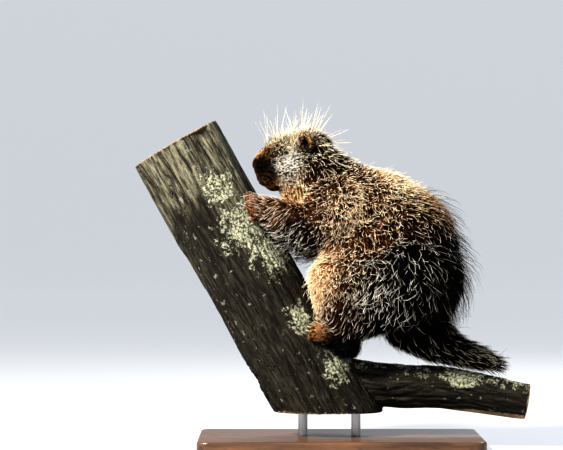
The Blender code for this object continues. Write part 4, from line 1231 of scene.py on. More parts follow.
# %% Short hair of the face, ears and paws
def grow_short(count):
    density = np.where(is_short & ~bare, 1.0, 0.0)
    roots, normals, depth, (root, shaft, tip, pale, slope) = sow(count, density)
    slope = slope * dice.uniform(0.8, 1.4, count)
    height = np.maximum(0.0010, depth * dice.uniform(0.55, 1.1, count))
    height = np.minimum(height, 0.0080 * np.sin(slope))
    curl, stray = dice.normal(0, 0.08, count), dice.normal(0, 0.30, count)
    path = tuft_paths(roots, normals, height, slope, curl, stray, (0.55, 1.0), sink=0.0008)
    locks = mottle(roots, CLUMP)
    is_pale = (dice.random(count) < np.clip(pale, 0, 1) * (0.10 + 1.5 * locks))[:, None]
    clump = (0.15 + 1.5 * locks)[:, None]
    end = np.where(is_pale, tip, shaft * clump)
    middle = np.where(is_pale, 0.5 * tip + 0.5 * shaft, (0.4 * root + 0.6 * shaft) * clump)
    shades = [varied(root, 0.3), varied(middle, 0.4), varied(end, 0.4)]
    plant("fur", path, dice.uniform(*SHORT_WIDTHS, count), (0.8, 1.0), shades)


SHORT_HAIRS = 16000
SHORT_WIDTHS = (0.00042, 0.00070)
grow_short(SHORT_HAIRS)
print("short hair planted:", planted(), "triangles")


# %% Fur of the body
def grow_fur(count, width, lift):
    density = np.where(is_short | bare, 0.0, 1.0) * np.clip(0.018 / triangle_depths, 0.7, 3.0)
    roots, normals, depth, (root, shaft, _, _, slope) = sow(count, density)
    wild = wildness(roots)
    slope = np.clip(slope * dice.uniform(0.75, 1.35, count), 0.2, 1.6)
    height = depth * dice.uniform(0.55, 1.0, count) * lift
    curl, stray = dice.normal(0, 0.12, count) * wild, dice.normal(0, 0.45, count) * wild
    path = tuft_paths(roots, normals, height, slope, curl, stray, (0.5, 1.0))
    # The dark-tipped tufts, more of them where the locks are dark, are partly the coat's own black hairs
    # and partly painted shadow in the gaps between locks.
    clump = mottle(roots)
    dark = dice.random(count) < 1.00 - 0.62 * clump
    tip = np.where(dark[:, None], 0.5 * root, shaft * (0.7 + 0.8 * clump)[:, None])
    shades = [varied(root, 0.3), varied(0.6 * root + 0.4 * tip, 0.3), varied(tip, 0.5)]
    widths = width * np.clip(np.sqrt(depth / 0.020), 0.55, 1.0) * dice.uniform(0.75, 1.25, count)
    plant("fur", path, widths, (0.8, 1.0), shades)


FUR_HAIRS, AWNS = 79000, 19500
HAIR_WIDTH = 0.00076
grow_fur(FUR_HAIRS, HAIR_WIDTH, 0.96)
print("with fur:", planted(), "triangles")


# %% Pale-tipped awns
def grow_awns(count, width, lift):
    density = np.where(is_short | bare, 0.0, 1.0) * np.clip(0.016 / triangle_depths, 0.7, 2.2)
    clump = 0.60 + 0.80 * mottle(triangle_middles, 0.0040)
    density *= np.maximum(0.01, pelt(triangle_middles)[3]) * clump
    roots, normals, depth, (root, shaft, tip, _, slope) = sow(count, density)
    wild = wildness(roots)
    slope = np.clip(slope * dice.uniform(0.70, 1.40, count), 0.2, 1.6)
    height = depth * dice.uniform(0.70, 1.0, count) * lift
    curl, stray = dice.normal(0, 0.20, count) * wild, dice.normal(0, 0.55, count) * wild
    path = tuft_paths(roots, normals, height, slope, curl, stray, (0.45, 0.72, 0.92, 1.0))
    light = (0.65 - 0.40 * np.clip(shaft[:, 1] / 0.06, 0, 1))[:, None]
    belt = light * tip + (1 - light) * shaft
    shades = [root, root, varied(belt, 0.3), varied(tip, 0.2), varied(tip, 0.1)]
    widths = width * np.clip(np.sqrt(depth / 0.020), 0.80, 1.0) * dice.uniform(0.6, 1.25, count)
    plant("bristles", path, widths, (0.6, 0.75, 1.0, 0.75), shades)


grow_awns(AWNS, HAIR_WIDTH, 1.08)
print("with awns:", planted(), "triangles")

# %% [markdown]
# Long guard hairs stand out of the coat where a porcupine raises them first: a crest on the crown and nape,
# and a haze of long dark and whitish hairs over the rump and down the tail. The crest mixes dark hairs with
# pale ones, and fringes hang at the elbow, forearm, knee and shank. Hairs on the head and tail stand
# straight, and the others follow the coat.

# %% Guard hairs
# name: (count, middle, reach, length, slope, curl, root shade, tip shade, least upward normal, width)
GUARDS = {
    "crest": (520, head_point(0.018, 0, 0.020), 0.044, 0.020, 74, 0.05, UMBER, CREAM, 0.15, 0.00060),
    "crest_dark": (260, head_point(0.022, 0, 0.020), 0.044, 0.018, 74, 0.05, INK, UMBER, 0.10, 0.00070),
    "crest_long": (85, head_point(0.016, 0, 0.020), 0.048, 0.056, 72, 0.10, STRAW, CREAM, 0.20, 0.00058),
    "nape": (120, Vector((-0.015, 0, 0.505)), 0.040, 0.040, 32, 0.06, INK, CREAM, 0.10, 0.0008),
    "back": (420, Vector((0.085, 0, 0.440)), 0.060, 0.042, 46, 0.18, UMBER, STRAW, 0.10, 0.0008),
    "rump_dark": (1000, Vector((0.160, 0, 0.330)), 0.095, 0.060, 42, 0.14, INK, INK, -0.70, 0.0007),
    "rump_pale": (110, Vector((0.130, 0, 0.325)), 0.075, 0.044, 46, 0.45, INK, BONE, -0.60, 0.0008),
    "thigh": (260, Vector((0.085, 0, 0.292)), 0.070, 0.034, 44, 0.60, INK, BONE, -0.80, 0.0008),
    "knee": (300, Vector((-0.040, 0, 0.300)), 0.040, 0.026, 52, 0.20, UMBER, CREAM, -0.90, 0.0007),
    "shank": (360, Vector((-0.010, 0, 0.238)), 0.034, 0.040, 20, 0.08, BRICK, STRAW, -1.00, 0.0007),
    "shank_dark": (420, Vector((0.012, 0, 0.215)), 0.040, 0.038, 22, 0.10, INK, INK, -1.00, 0.0008),
    "forearm": (170, Vector((-0.100, 0, 0.398)), 0.040, 0.034, 24, 0.10, RUST, BONE, -1.00, 0.0007),
    "elbow": (190, Vector((-0.066, 0, 0.362)), 0.040, 0.034, 52, 0.45, INK, BONE, -1.00, 0.0008),
    # elbow_dark: its black hairs partly stand for painted shadow under the elbow
    "elbow_dark": (420, Vector((-0.060, 0, 0.352)), 0.036, 0.034, 52, 0.20, INK, INK, -1.00, 0.0009),
    "tail": (170, Vector((0.225, 0, 0.168)), 0.055, 0.034, 22, 0.05, INK, CREAM, -0.10, 0.0009),
    "tail_brush": (150, Vector((0.262, 0, 0.146)), 0.022, 0.034, 14, 0.04, INK, UMBER, -1.00, 0.0010),
    "tail_dark": (600, Vector((0.205, 0, 0.168)), 0.065, 0.036, 26, 0.05, INK, INK, -1.00, 0.0010),
}


def grow_guards():
    for name, (count, middle, reach, length, slope, curl, root, tip, facing, width) in GUARDS.items():
        near = np.linalg.norm((triangle_middles - np.array(middle)) * np.array((1, 0.45, 1)), axis=1)
        density = np.where(is_short | bare, 0, 1) * np.exp(-((near / reach) ** 4))
        density *= triangle_normals[:, 2] > facing
        roots, normals = scatter(count, density)
        slopes = np.radians(slope) * dice.uniform(0.8, 1.2, count)
        long = length * dice.uniform(0.7, 1.25, count)
        bend = curl * dice.uniform(0.4, 1.0, count) * np.where(dice.random(count) < 0.5, -1, 1)
        stray = dice.normal(0, 0.34, count) * wildness(roots)
        shares = (0.30, 0.56, 0.80, 1.0)
        if name.startswith(("crest", "tail")):
            path = spike_paths(roots, normals, long, slopes, bend, stray, shares)
        else:
            path = tuft_paths(roots, normals, long * np.sin(slopes), slopes, bend, stray, shares)
        tip_shades, root_shades = np.tile(tip, (count, 1)), np.tile(root, (count, 1))
        shades = [root_shades, root_shades, 0.6 * root_shades + 0.4 * tip_shades, varied(tip_shades, 0.2),
                  varied(tip_shades, 0.15)]
        plant("bristles", path, width * dice.uniform(0.7, 1.2, count), (0.8, 1.0, 0.8, 0.5), shades)


grow_guards()
print("with guard hairs:", planted(), "triangles")

# %% Join the tufts of each part
coat_pieces = {}
for (layer, part), batches in sorted(beds.items()):
    coat_pieces[(layer, part)] = coat_mesh(f"{layer}_{part}", PART_LINES[part], batches)
coat_triangles = [triangles_of(piece) for piece in coat_pieces.values()]
print("coat:", len(coat_pieces), "pieces,", sum(coat_triangles), "triangles, largest", max(coat_triangles))

# %% [markdown]
# ## Eyes, claws and whiskers
# The eye of a porcupine is a small dark bead. It is a sphere with a slightly raised cornea, and stores how
# close each place is to the middle of its gaze, so that its material can set a pupil and an iris. A claw
# is a run of rings that shrink along an arc. Whiskers are tufts like the rest, but long, dark and thin.

# %% Eyes
def eyeball(side_name):
    centre, way = eye_centre(side_name), eye_way(side_name)
    bm = bmesh.new()
    bmesh.ops.create_uvsphere(bm, u_segments=36, v_segments=24, radius=EYE_RADIUS)
    gaze = []
    for vert in bm.verts:
        facing = vert.co.normalized().z
        vert.co *= 1 + 0.05 * max(0.0, (facing - 0.75) / 0.25) ** 0.5 * (facing > 0.75)
        gaze.append(max(0.0, facing))
    place = Matrix.Translation(centre) @ way.to_track_quat("Z", "Y").to_matrix().to_4x4()
    bmesh.ops.transform(bm, matrix=place, verts=bm.verts)
    ball = new_piece(f"eyeball_{side_name}", bm)
    set_values(ball.data, "gaze", gaze)
    smooth_shaded(ball)
    return ball


eyeballs = {side_name: eyeball(side_name) for side_name in SIDES}
print("eyes:", [triangles_of(ball) for ball in eyeballs.values()])


# %% Claws
CLAW_SIZES = (1.0, 0.98, 0.9, 0.76, 0.58, 0.36, 0.1)  # of the rings, from the root to the point


def rings_along(bm, path, radii, segments, breadth=1.0):
    """Adds a skin of rings along a path. Gives (the vertices, the edges) of each ring."""
    loops = []
    for spot, before, after, radius in zip(path, [path[0]] + path, path[1:] + [path[-1]], radii):
        turn = (after - before).to_track_quat("Z", "Y").to_matrix().to_4x4()
        place = Matrix.Translation(spot) @ turn @ Matrix.Diagonal((breadth, 1, 1, 1))
        verts = bmesh.ops.create_circle(bm, segments=segments, radius=radius, matrix=place)["verts"]
        loops.append((verts, list({edge for vert in verts for edge in vert.link_edges})))
    for (_, low), (_, high) in zip(loops, loops[1:]):
        bmesh.ops.bridge_loops(bm, edges=low + high)
    return loops


def claws(which, side_name):
    """The claws of one paw, each on an arc from its toe to the bark."""
    bm = bmesh.new()
    toes, _ = toe_places(which, side_name, "toe")
    tips, radius = toe_places(which, side_name, "claw")
    for toe, tip in zip(toes, tips):
        spoke = toe - LIMB_GRIP
        out = (spoke - spoke.dot(LIMB_DOWN) * LIMB_DOWN).normalized()
        start, bend = toe + out * 0.0008, toe.lerp(tip, 0.62) + out * 0.0042
        path = []
        for step in range(len(CLAW_SIZES)):
            share = step / (len(CLAW_SIZES) - 1)
            path.append((1 - share) ** 2 * start + 2 * share * (1 - share) * bend + share**2 * tip)
        loops = rings_along(bm, path, [radius * size for size in CLAW_SIZES], 10, breadth=0.72)
        bmesh.ops.pointmerge(bm, verts=loops[-1][0], merge_co=path[-1])
        bmesh.ops.contextual_create(bm, geom=loops[0][1])
    made = new_piece(f"claws_{which}paw_{side_name}", bm)
    smooth_shaded(made)
    return made


claw_pieces = [claws(which, side_name) for which, side_name in SETBACK]
print("claws:", sum(triangles_of(piece) for piece in claw_pieces), "triangles")


# %% Whiskers
WHISKERS = 16  # on each side
WHISKER_WIDTH = 0.00036


def whiskers(side_name, count):
    side = -SIDES[side_name]
    roots, starts = [], []
    for _ in range(count):
        rise = dice.uniform(-0.026, -0.014)
        aim = head_point(dice.uniform(0.080, 0.092), 0.004, rise, side)
        way = (HEAD_TURN @ Vector((0.15, side, 0.0))).normalized()
        hit = skin_tree.ray_cast(aim, way)[0]
        roots.append(hit - way * 0.001)
        lean = Vector((dice.uniform(-0.6, 0.1), side * 1.0, dice.uniform(-0.5, 0.25)))
        starts.append((HEAD_TURN @ lean).normalized())
    roots, starts = np.array(roots), np.array(starts)
    length = dice.uniform(0.022, 0.042, count)[:, None]
    droop = np.array(HEAD_TURN @ Vector((-0.5, 0, -0.5)))
    path = []
    for share in (0, 0.35, 0.7, 1.0):
        path.append(roots + starts * length * share + droop * length * 0.55 * share**2)
    shades = [np.tile(UMBER, (count, 1))] * 3 + [np.tile(TAN, (count, 1))]
    widths = np.full(count, WHISKER_WIDTH)
    return tuft_arrays(path, widths, (1.0, 0.85, 0.6), shades, dice.uniform(0, 6, count))


whisker_line = [head_point(0.07, 0, -0.02), head_point(0.10, 0, -0.02)]
whisker_piece = coat_mesh("whiskers", whisker_line, [whiskers(side_name, WHISKERS) for side_name in SIDES])
print("whiskers:", triangles_of(whisker_piece), "triangles")

# %% [markdown]
# ## The limb
# The perch is a dead hardwood limb with a fork. Its bark has plates that run along the grain with deep
# furrows between them, and a crust of lichen where light falls, which on top of the fork is partly painted
# light. Its upper part is painted paler, as bark in sunlight.
# The bare shape is fused first, and then every vertex sinks by a relief that is counted in the limb's own
# grain, so that furrows run down each arm.

# %% Limb: bare shape
SIDE_LIMB = (
    ((-0.030, 0.112), 0.040),
    ((0.040, 0.110), 0.039),
    ((0.102, 0.104), 0.038),
    ((0.170, 0.102), 0.036),
    ((0.221, 0.094), 0.034),
    ((0.268, 0.086), 0.033),
    ((0.318, 0.078), 0.031),
)
LIMB_VOXEL = 0.0023
LIMB_LEVELS = 28
RING_PACE = 2400.0  # radians of the growth rings' wave for each metre from the heart


def bark_swell(turn, along):
    """The slow swellings of the trunk's outline."""
    return 0.0022 * math.sin(3 * turn + 9 * along) + 0.0014 * math.sin(5 * turn - 14 * along)


def bare_limb():
    """The trunk, cut level above the base."""
    length = LIMB_ABOVE + LIMB_FOOT + 0.08
    radius = LIMB_RADIUS - 0.0006
    bm = bmesh.new()
    bmesh.ops.create_cone(bm, cap_ends=True, segments=72, radius1=radius, radius2=radius, depth=length)
    for level in range(1, LIMB_LEVELS):
        cut = (0, 0, length * (level / LIMB_LEVELS - 0.5))
        every = bm.verts[:] + bm.edges[:] + bm.faces[:]
        bmesh.ops.bisect_plane(bm, geom=every, plane_co=cut, plane_no=(0, 0, 1))
    for vert in bm.verts:
        turn = math.atan2(vert.co.y, vert.co.x)
        vert.co += Vector((math.cos(turn), math.sin(turn), 0)) * bark_swell(turn, vert.co.z)
    turn = LIMB_DOWN.to_track_quat("Z", "Y").to_matrix().to_4x4()
    middle = LIMB_GRIP + LIMB_DOWN * (length / 2 - LIMB_ABOVE)
    bmesh.ops.transform(bm, matrix=Matrix.Translation(middle) @ turn, verts=bm.verts)
    every = bm.verts[:] + bm.edges[:] + bm.faces[:]
    cut = (0, 0, LIMB_FOOT_Z + 0.0006)
    bmesh.ops.bisect_plane(bm, geom=every, plane_co=cut, plane_no=(0, 0, -1), clear_outer=True)
    bmesh.ops.holes_fill(bm, edges=[edge for edge in bm.edges if edge.is_boundary])
    return bm


def add_side_limb(bm):
    """The low side limb that the hind feet stand by."""
    line = [Vector((x, 0, z)) for (x, z), _ in SIDE_LIMB]
    loops = rings_along(bm, line, [radius for _, radius in SIDE_LIMB], 40)
    for _, edges in (loops[0], loops[-1]):
        bmesh.ops.contextual_create(bm, geom=edges)


bm = bare_limb()
add_side_limb(bm)
limb = new_piece("limb", bm)
remesh = limb.modifiers.new("Fuse", "REMESH")
remesh.mode = "VOXEL"
remesh.voxel_size = LIMB_VOXEL
settle(limb)
keep_largest(limb)
print("limb:", triangles_of(limb), "triangles")

# %% Limb: grain coordinates
limb_points, limb_normals = points_of(limb.data), normals_of(limb.data)


def grain_places(points):
    """(along the grain, across it, distance from the heart, on the fork) for every point."""
    from_grip = points - np.array(LIMB_GRIP)
    along = from_grip @ np.array(LIMB_DOWN)
    spread = np.stack((from_grip @ np.array(LIMB_OUT), points[:, 1]), axis=1)
    heart = np.linalg.norm(spread, axis=1)
    on_trunk = heart / LIMB_RADIUS
    line = np.array([(x, z) for (x, z), _ in SIDE_LIMB])
    level = np.interp(points[:, 0], line[:, 0], line[:, 1])
    thick = np.interp(points[:, 0], line[:, 0], [radius for _, radius in SIDE_LIMB])
    fork_spread = np.stack((points[:, 1], points[:, 2] - level), axis=1)
    fork_heart = np.linalg.norm(fork_spread, axis=1)
    fork = fork_heart / thick < on_trunk
    along = np.where(fork, points[:, 0] + 3.0, along)
    spread = np.where(fork[:, None], fork_spread, spread)
    return along, spread, np.where(fork, fork_heart, heart), fork


along, spread, heart, on_fork = grain_places(limb_points)
top_end = np.abs(limb_normals @ np.array(LIMB_DOWN)) > 0.8
saw_end = top_end & (along < -LIMB_ABOVE + 0.006) & ~on_fork
saw_end |= (limb_points[:, 2] < LIMB_FOOT_Z + 0.006) & (limb_normals[:, 2] < -0.8)
saw_end |= (limb_points[:, 0] > SIDE_LIMB[-1][0][0] - 0.006) & (limb_normals[:, 0] > 0.8)
print("sawn vertices:", int(saw_end.sum()), "on the fork:", int(on_fork.sum()))


# %% Limb: bark relief and lichen
# metres down the limb, degrees round it, reach
LICHEN_SPOTS = (
    (0.020, 60, 0.064),
    (0.080, 46, 0.062),
    (-0.060, 68, 0.046),
    (0.200, 62, 0.035),
    (0.300, 50, 0.040),
)
FURROW_DEPTH, PLATE_STEP, CRACK_DEPTH, STRAND_HEIGHT = 0.0052, 0.0022, 0.0020, 0.0007
CRUST_HEIGHT = 0.0016


def ridge(place, sharpness):
    """1 on the wavy lines where a noise crosses zero, and 0 away from them."""
    return max(0.0, 1 - abs(noise.noise(place)) * sharpness)


def relief_at(along, a, b, size):
    """(depth in metres, painted shadow) of the bark at one place of the grain: furrows, cracks and plate
    edges are darkened as shade.

    Plates stand proud, furrows part them, cracks cross them, and strands give a fine fibre.
    """
    sway = noise.noise(Vector((along * 7, a * 20, b * 20))) * 0.012
    a, b = a + sway, b - sway
    rough = 0.5 + 0.5 * noise.noise(Vector((along * 5 + 3, a * 9, b * 9)))
    plate = noise.noise(Vector((along * 4.5, a * 26, b * 26)) / size)
    step = min(1.0, max(0.0, (plate + 0.06) / 0.10))
    furrow = ridge(Vector((along * 3.2 + 11, a * 34, b * 34)) / size, 5.5) ** 1.6 * (0.35 + 0.65 * rough)
    crack = ridge(Vector((along * 8 + 5, a * 95, b * 95)), 7.0) ** 2 * rough
    strand = noise.noise(Vector((along * 22, a * 300, b * 300)))
    depth = -FURROW_DEPTH * furrow - PLATE_STEP * (1 - step) - CRACK_DEPTH * crack + STRAND_HEIGHT * strand
    edge = max(0.0, 1 - abs(plate + 0.01) / 0.035) * 0.6
    return depth, min(1.0, 0.95 * furrow + 0.7 * crack + edge * rough)


def lichen_share():
    """Where the crust grows: near the forepaws, by the hind foot, and on top of the fork, where it is
    partly painted light for the fork's lit top.
    """
    share = np.zeros(len(limb_points))
    for down, around, reach in LICHEN_SPOTS:
        for side in SIDES.values():
            away = distance(limb_points, limb_point(down, around, 0, side)) / reach
            share = np.maximum(share, np.exp(-1.5 * away**2))
    patches = np.array([noise.noise(Vector(place) * 16) for place in limb_points.tolist()])
    # On the fork's upward faces the crust is partly painted light, paling the fork's lit top.
    lit_fork_top = on_fork * smooth_step(0.05, 0.45, limb_normals[:, 2] + 0.5 * patches)
    share = np.maximum(share, lit_fork_top * np.clip(0.70 + 0.8 * patches, 0, 1))
    return np.where(saw_end, 0, share)


def painted_sunlight_share():
    """Where the bark is painted pale grey as sunlit bark: the limb's upper part, down to a ragged edge
    below the forepaws.
    """
    ragged = np.array([noise.noise(Vector(place) * 11) for place in limb_points.tolist()])
    streaks = np.array([noise.noise(Vector((down * 6, a * 40, b * 40)))
                        for down, (a, b) in zip(along.tolist(), spread.tolist())])
    share = 1 - smooth_step(-0.06, 0.06, along + 0.16 * ragged + 0.05 * streaks)
    return np.where(saw_end, 0, share * np.clip(0.75 + 0.9 * streaks, 0, 1))


def limb_relief():
    """(how far each vertex is pushed out, how much painted shadow darkens its crack), calmer where the paws
    grip.
    """
    grips = [paw_place(which, side_name, "ball")[0] for which, side_name in SETBACK]
    clear = np.min([distance(limb_points, grip) for grip in grips], axis=0)
    calm = 0.25 + 0.75 * smooth_step(0.030, 0.060, clear)
    cracks, push = np.zeros(len(limb_points)), np.zeros(len(limb_points))
    for row, (down, (a, b), fork) in enumerate(zip(along.tolist(), spread.tolist(), on_fork.tolist())):
        push[row], cracks[row] = relief_at(down, a, b, 0.7 if fork else 1.0)
    crust = lichen_share()
    grit = np.array([noise.noise(Vector(place) * 160) for place in limb_points.tolist()])
    push += np.clip(crust - 0.25, 0, 1) * CRUST_HEIGHT * (1 + grit)
    push = np.where(saw_end, 0.0003 * np.sin(heart * RING_PACE), push * calm)
    return push, np.where(saw_end, 0, cracks * calm)


relief, cracks = limb_relief()
set_points(limb.data, limb_points + limb_normals * relief[:, None])
# Painted shadow: how much the furrows and cracks are darkened.
set_values(limb.data, "cracks", cracks)
set_values(limb.data, "sawn", saw_end.astype(float))
set_values(limb.data, "heart", heart)
# Painted sunlight: how pale the bark is painted as sunlit.
set_values(limb.data, "painted_sunlight", painted_sunlight_share())
grain = limb.data.attributes.new("grain", "FLOAT_VECTOR", "POINT")
grain_vectors = np.stack((spread[:, 0], spread[:, 1], along * 0.16), axis=1)
grain.data.foreach_set("vector", grain_vectors.astype(np.float32).ravel())
smooth_shaded(limb)
print("deepest furrow:", round(float(-relief.min()) * 1000, 1), "mm")

# %% [markdown]
# ## Stand
# The base is a plain board. It replaces the solid's sharp one with softened edges, made by a bevel of its
# top rim after its corners are rounded. The two steel rods keep their CAD shape.

# %% Base board
BASE_SIZE = Vector((0.48, 0.30, 0.020))
BASE_CORNER = 0.020
BASE_RIM = 0.004
BASE_FOOT = 0.0012


def board_bevel(bm, edges, offset, segments):
    bmesh.ops.bevel(bm, geom=edges, offset=offset, segments=segments,
                    profile=0.5, affect="EDGES", material=-1)


bm = bmesh.new()
bmesh.ops.create_cube(bm, size=1.0)
bmesh.ops.scale(bm, vec=BASE_SIZE, verts=bm.verts)
bmesh.ops.translate(bm, vec=(0, 0, BASE_SIZE.z / 2), verts=bm.verts)
upright = [edge for edge in bm.edges if abs(edge.verts[0].co.z - edge.verts[1].co.z) > BASE_SIZE.z / 2]
board_bevel(bm, upright, BASE_CORNER, 10)
rim = [edge for edge in bm.edges if all(vert.co.z > BASE_SIZE.z - 1e-6 for vert in edge.verts)]
board_bevel(bm, rim, BASE_RIM, 5)
foot = [edge for edge in bm.edges if all(vert.co.z < 1e-6 for vert in edge.verts)]
board_bevel(bm, foot, BASE_FOOT, 2)
board = new_piece("base_board", bm)
print("base:", [round(v, 3) for v in board.dimensions])

# %% [markdown]
# ## Materials
# One shader node group, Grain, is shared by every finish: it varies a colour a little with a noise and
# gives a height for a bump. Each material then adds what only it needs. The coat reads the shade stored in
# its tufts, the bark the painted shadow of its cracks, its lichen and where it is painted as sunlit, the
# eye its gaze.

# %% Shared node group
def new_group(name, inputs, outputs):
    group = bpy.data.node_groups.new(name, "ShaderNodeTree")
    for label, kind, value in inputs:
        socket = group.interface.new_socket(label, in_out="INPUT", socket_type=kind)
        if value is not None:
            socket.default_value = value
    for label, kind in outputs:
        group.interface.new_socket(label, in_out="OUTPUT", socket_type=kind)
    start, end = group.nodes.new("NodeGroupInput"), group.nodes.new("NodeGroupOutput")
    return group, start, end


def feed(tree, socket, value):
    """Sets a socket to a number or a colour, or links another socket to it."""
    if isinstance(value, (int, float)):
        socket.default_value = value
    elif isinstance(value, tuple):
        socket.default_value = (*value, 1.0)
    elif value is not None:
        tree.links.new(value, socket)


def math_node(tree, operation, a, b=None):
    node = tree.nodes.new("ShaderNodeMath")
    node.operation = operation
    for socket, value in zip(node.inputs, (a, b)):
        feed(tree, socket, value)
    return node.outputs[0]


def mix_node(tree, share, first, second):
    """A blend of two colours; each may be a colour or a socket."""
    node = tree.nodes.new("ShaderNodeMix")
    node.data_type = "RGBA"
    for name, value in (("Factor_Float", share), ("A_Color", first), ("B_Color", second)):
        feed(tree, next(item for item in node.inputs if item.identifier == name), value)
    return next(item for item in node.outputs if item.identifier == "Result_Color")


def noise_node(tree, vector, scale, detail=4.0, roughness=0.55):
    node = tree.nodes.new("ShaderNodeTexNoise")
    node.inputs["Detail"].default_value = detail
    node.inputs["Roughness"].default_value = roughness
    feed(tree, node.inputs["Vector"], vector)
    feed(tree, node.inputs["Scale"], scale)
    return node.outputs["Fac"]


def range_node(tree, value, low, high, to_low=0.0, to_high=1.0):
    """A value that runs from to_low to to_high while another runs from low to high."""
    node = tree.nodes.new("ShaderNodeMapRange")
    for name, number in (("From Min", low), ("From Max", high), ("To Min", to_low), ("To Max", to_high)):
        node.inputs[name].default_value = number
    tree.links.new(value, node.inputs["Value"])
    return node.outputs["Result"]


GRAIN, start, end = new_group(
    "Grain",
    [("Color", "NodeSocketColor", (0.5, 0.5, 0.5, 1)), ("Vector", "NodeSocketVector", None),
     ("Scale", "NodeSocketFloat", 100.0), ("Amount", "NodeSocketFloat", 0.3)],
    [("Color", "NodeSocketColor"), ("Height", "NodeSocketFloat")],
)
speckle = noise_node(GRAIN, start.outputs["Vector"], start.outputs["Scale"])
swing = math_node(GRAIN, "MULTIPLY", math_node(GRAIN, "SUBTRACT", speckle, 0.5), start.outputs["Amount"])
gain = math_node(GRAIN, "ADD", math_node(GRAIN, "MULTIPLY", swing, 2.0), 1.0)
scaled = GRAIN.nodes.new("ShaderNodeVectorMath")
scaled.operation = "SCALE"
GRAIN.links.new(start.outputs["Color"], scaled.inputs[0])
GRAIN.links.new(gain, scaled.inputs["Scale"])
GRAIN.links.new(scaled.outputs[0], end.inputs["Color"])
GRAIN.links.new(speckle, end.inputs["Height"])
print("shared group:", GRAIN.name, "with", len(GRAIN.nodes), "nodes")


# %% Material helpers
def new_finish(name, roughness, **sockets):
    """A Principled material, with its constants on the shader's own sockets."""
    finish = bpy.data.materials.new(name)
    finish.use_nodes = True
    shader = finish.node_tree.nodes["Principled BSDF"]
    shader.inputs["Roughness"].default_value = roughness
    for label, value in sockets.items():
        shader.inputs[label.replace("_", " ")].default_value = value
    return finish, finish.node_tree, shader


def object_coordinates(tree):
    return tree.nodes.new("ShaderNodeTexCoord").outputs["Object"]


def attribute(tree, name, output="Color"):
    node = tree.nodes.new("ShaderNodeAttribute")
    node.attribute_name = name
    return node.outputs[output]


def grained(tree, shader, colour, scale, amount):
    """Gives the shader a colour through the shared group. Returns the group's height."""
    node = tree.nodes.new("ShaderNodeGroup")
    node.node_tree = GRAIN
    feed(tree, node.inputs["Color"], colour)
    tree.links.new(object_coordinates(tree), node.inputs["Vector"])
    node.inputs["Scale"].default_value = scale
    node.inputs["Amount"].default_value = amount
    tree.links.new(node.outputs["Color"], shader.inputs["Base Color"])
    return node.outputs["Height"]


def bumped(tree, shader, height, strength, distance):
    """Gives the shader a bump from a height, at most distance metres deep."""
    node = tree.nodes.new("ShaderNodeBump")
    node.inputs["Strength"].default_value = strength
    node.inputs["Distance"].default_value = distance
    tree.links.new(height, node.inputs["Height"])
    tree.links.new(node.outputs["Normal"], shader.inputs["Normal"])


def wear(piece, finish):
    piece.data.materials.clear()
    piece.data.materials.append(finish)


print("finish helpers ready")

# %% Coat and skin
coat_finish, tree, shader = new_finish("bristly_coat", 0.55, Specular_IOR_Level=0.04)
grained(tree, shader, attribute(tree, "shade"), 240.0, 0.35)
for piece in list(coat_pieces.values()) + [whisker_piece]:
    wear(piece, coat_finish)

skin_finish, tree, shader = new_finish("hide", 0.62, Specular_IOR_Level=0.08)
height = grained(tree, shader, attribute(tree, "shade"), 900.0, 0.5)
bumped(tree, shader, height, 0.5, 0.0006)
wear(skin, skin_finish)
print("coat finish on", len(coat_pieces) + 1, "pieces")


# %% Skin shades
def skin_shades():
    """Dark under the deep coat (root colour and painted shadow between hairs), the shaft's shade under
    short hair, own tones on lids and ear rims, and painted shadow in ear hollows, nostrils and mouth.
    """
    points = points_of(skin.data)
    root, shaft, _, _, _ = pelt(points)
    _, depth = coat_lie(points)
    short = (1 - smooth_step(0.004, 0.008, depth))[:, None]
    clump = (0.15 + 1.5 * mottle(points, CLUMP))[:, None]
    # Under the deep coat the skin is mostly root colour: partly the hairs' own dark roots, partly painted
    # shadow between the hairs.
    shades = (0.75 * root + 0.25 * shaft) * (1 - short) + (0.3 * root + 0.55 * shaft) * short * clump
    local = head_local(points)
    for side_name in SIDES:
        lid = (1 - smooth_step(0.0072, 0.0100, distance(points, eye_centre(side_name))))[:, None]
        shades = shades * (1 - lid) + np.array((0.010, 0.007, 0.006)) * lid
        way = np.array(ear_way(side_name))
        from_ear = points - np.array(ear_middle(side_name))
        away, ahead = np.linalg.norm(from_ear, axis=1), from_ear @ way
        inside = (away < 0.0150) & (ahead < 0.0015) & (normals_of(skin.data) @ way > 0.15)
        # Painted shadow: the hollow of the ear is painted near black.
        shades[inside] = (0.004, 0.003, 0.003)
        rim = (away < EAR_REACH) & (ahead > 0.0008) & (np.abs(points[:, 1]) > 0.030)
        behind = rim & (local[:, 0] < EAR.x - 0.001)
        shades[rim] = (0.050, 0.026, 0.014)
        shades[behind] = (0.400, 0.200, 0.085)
    # Painted shadow: the nostrils are painted near black.
    hole = np.hypot((np.abs(local[:, 1]) - NOSTRIL[1]) / 0.0020, (local[:, 2] - NOSTRIL[2]) / 0.0028)
    dark = (np.exp(-(hole**3)) * (local[:, 0] > 0.090))[:, None]
    shades = shades * (1 - dark) + np.array((0.006, 0.004, 0.004)) * dark
    # Painted shadow: the skin is darkened along the line of the mouth.
    mouth_shadow = bump(local[:, 2] - mouth_height(local), 0, 0.0008) * smooth_step(0.060, 0.066, local[:, 0])
    return shades * (1 - 0.8 * mouth_shadow[:, None])


hide_shades = skin_shades()
set_colours(skin.data, "shade", hide_shades)
print("skin shades, on average:", hide_shades.mean(axis=0).round(3))

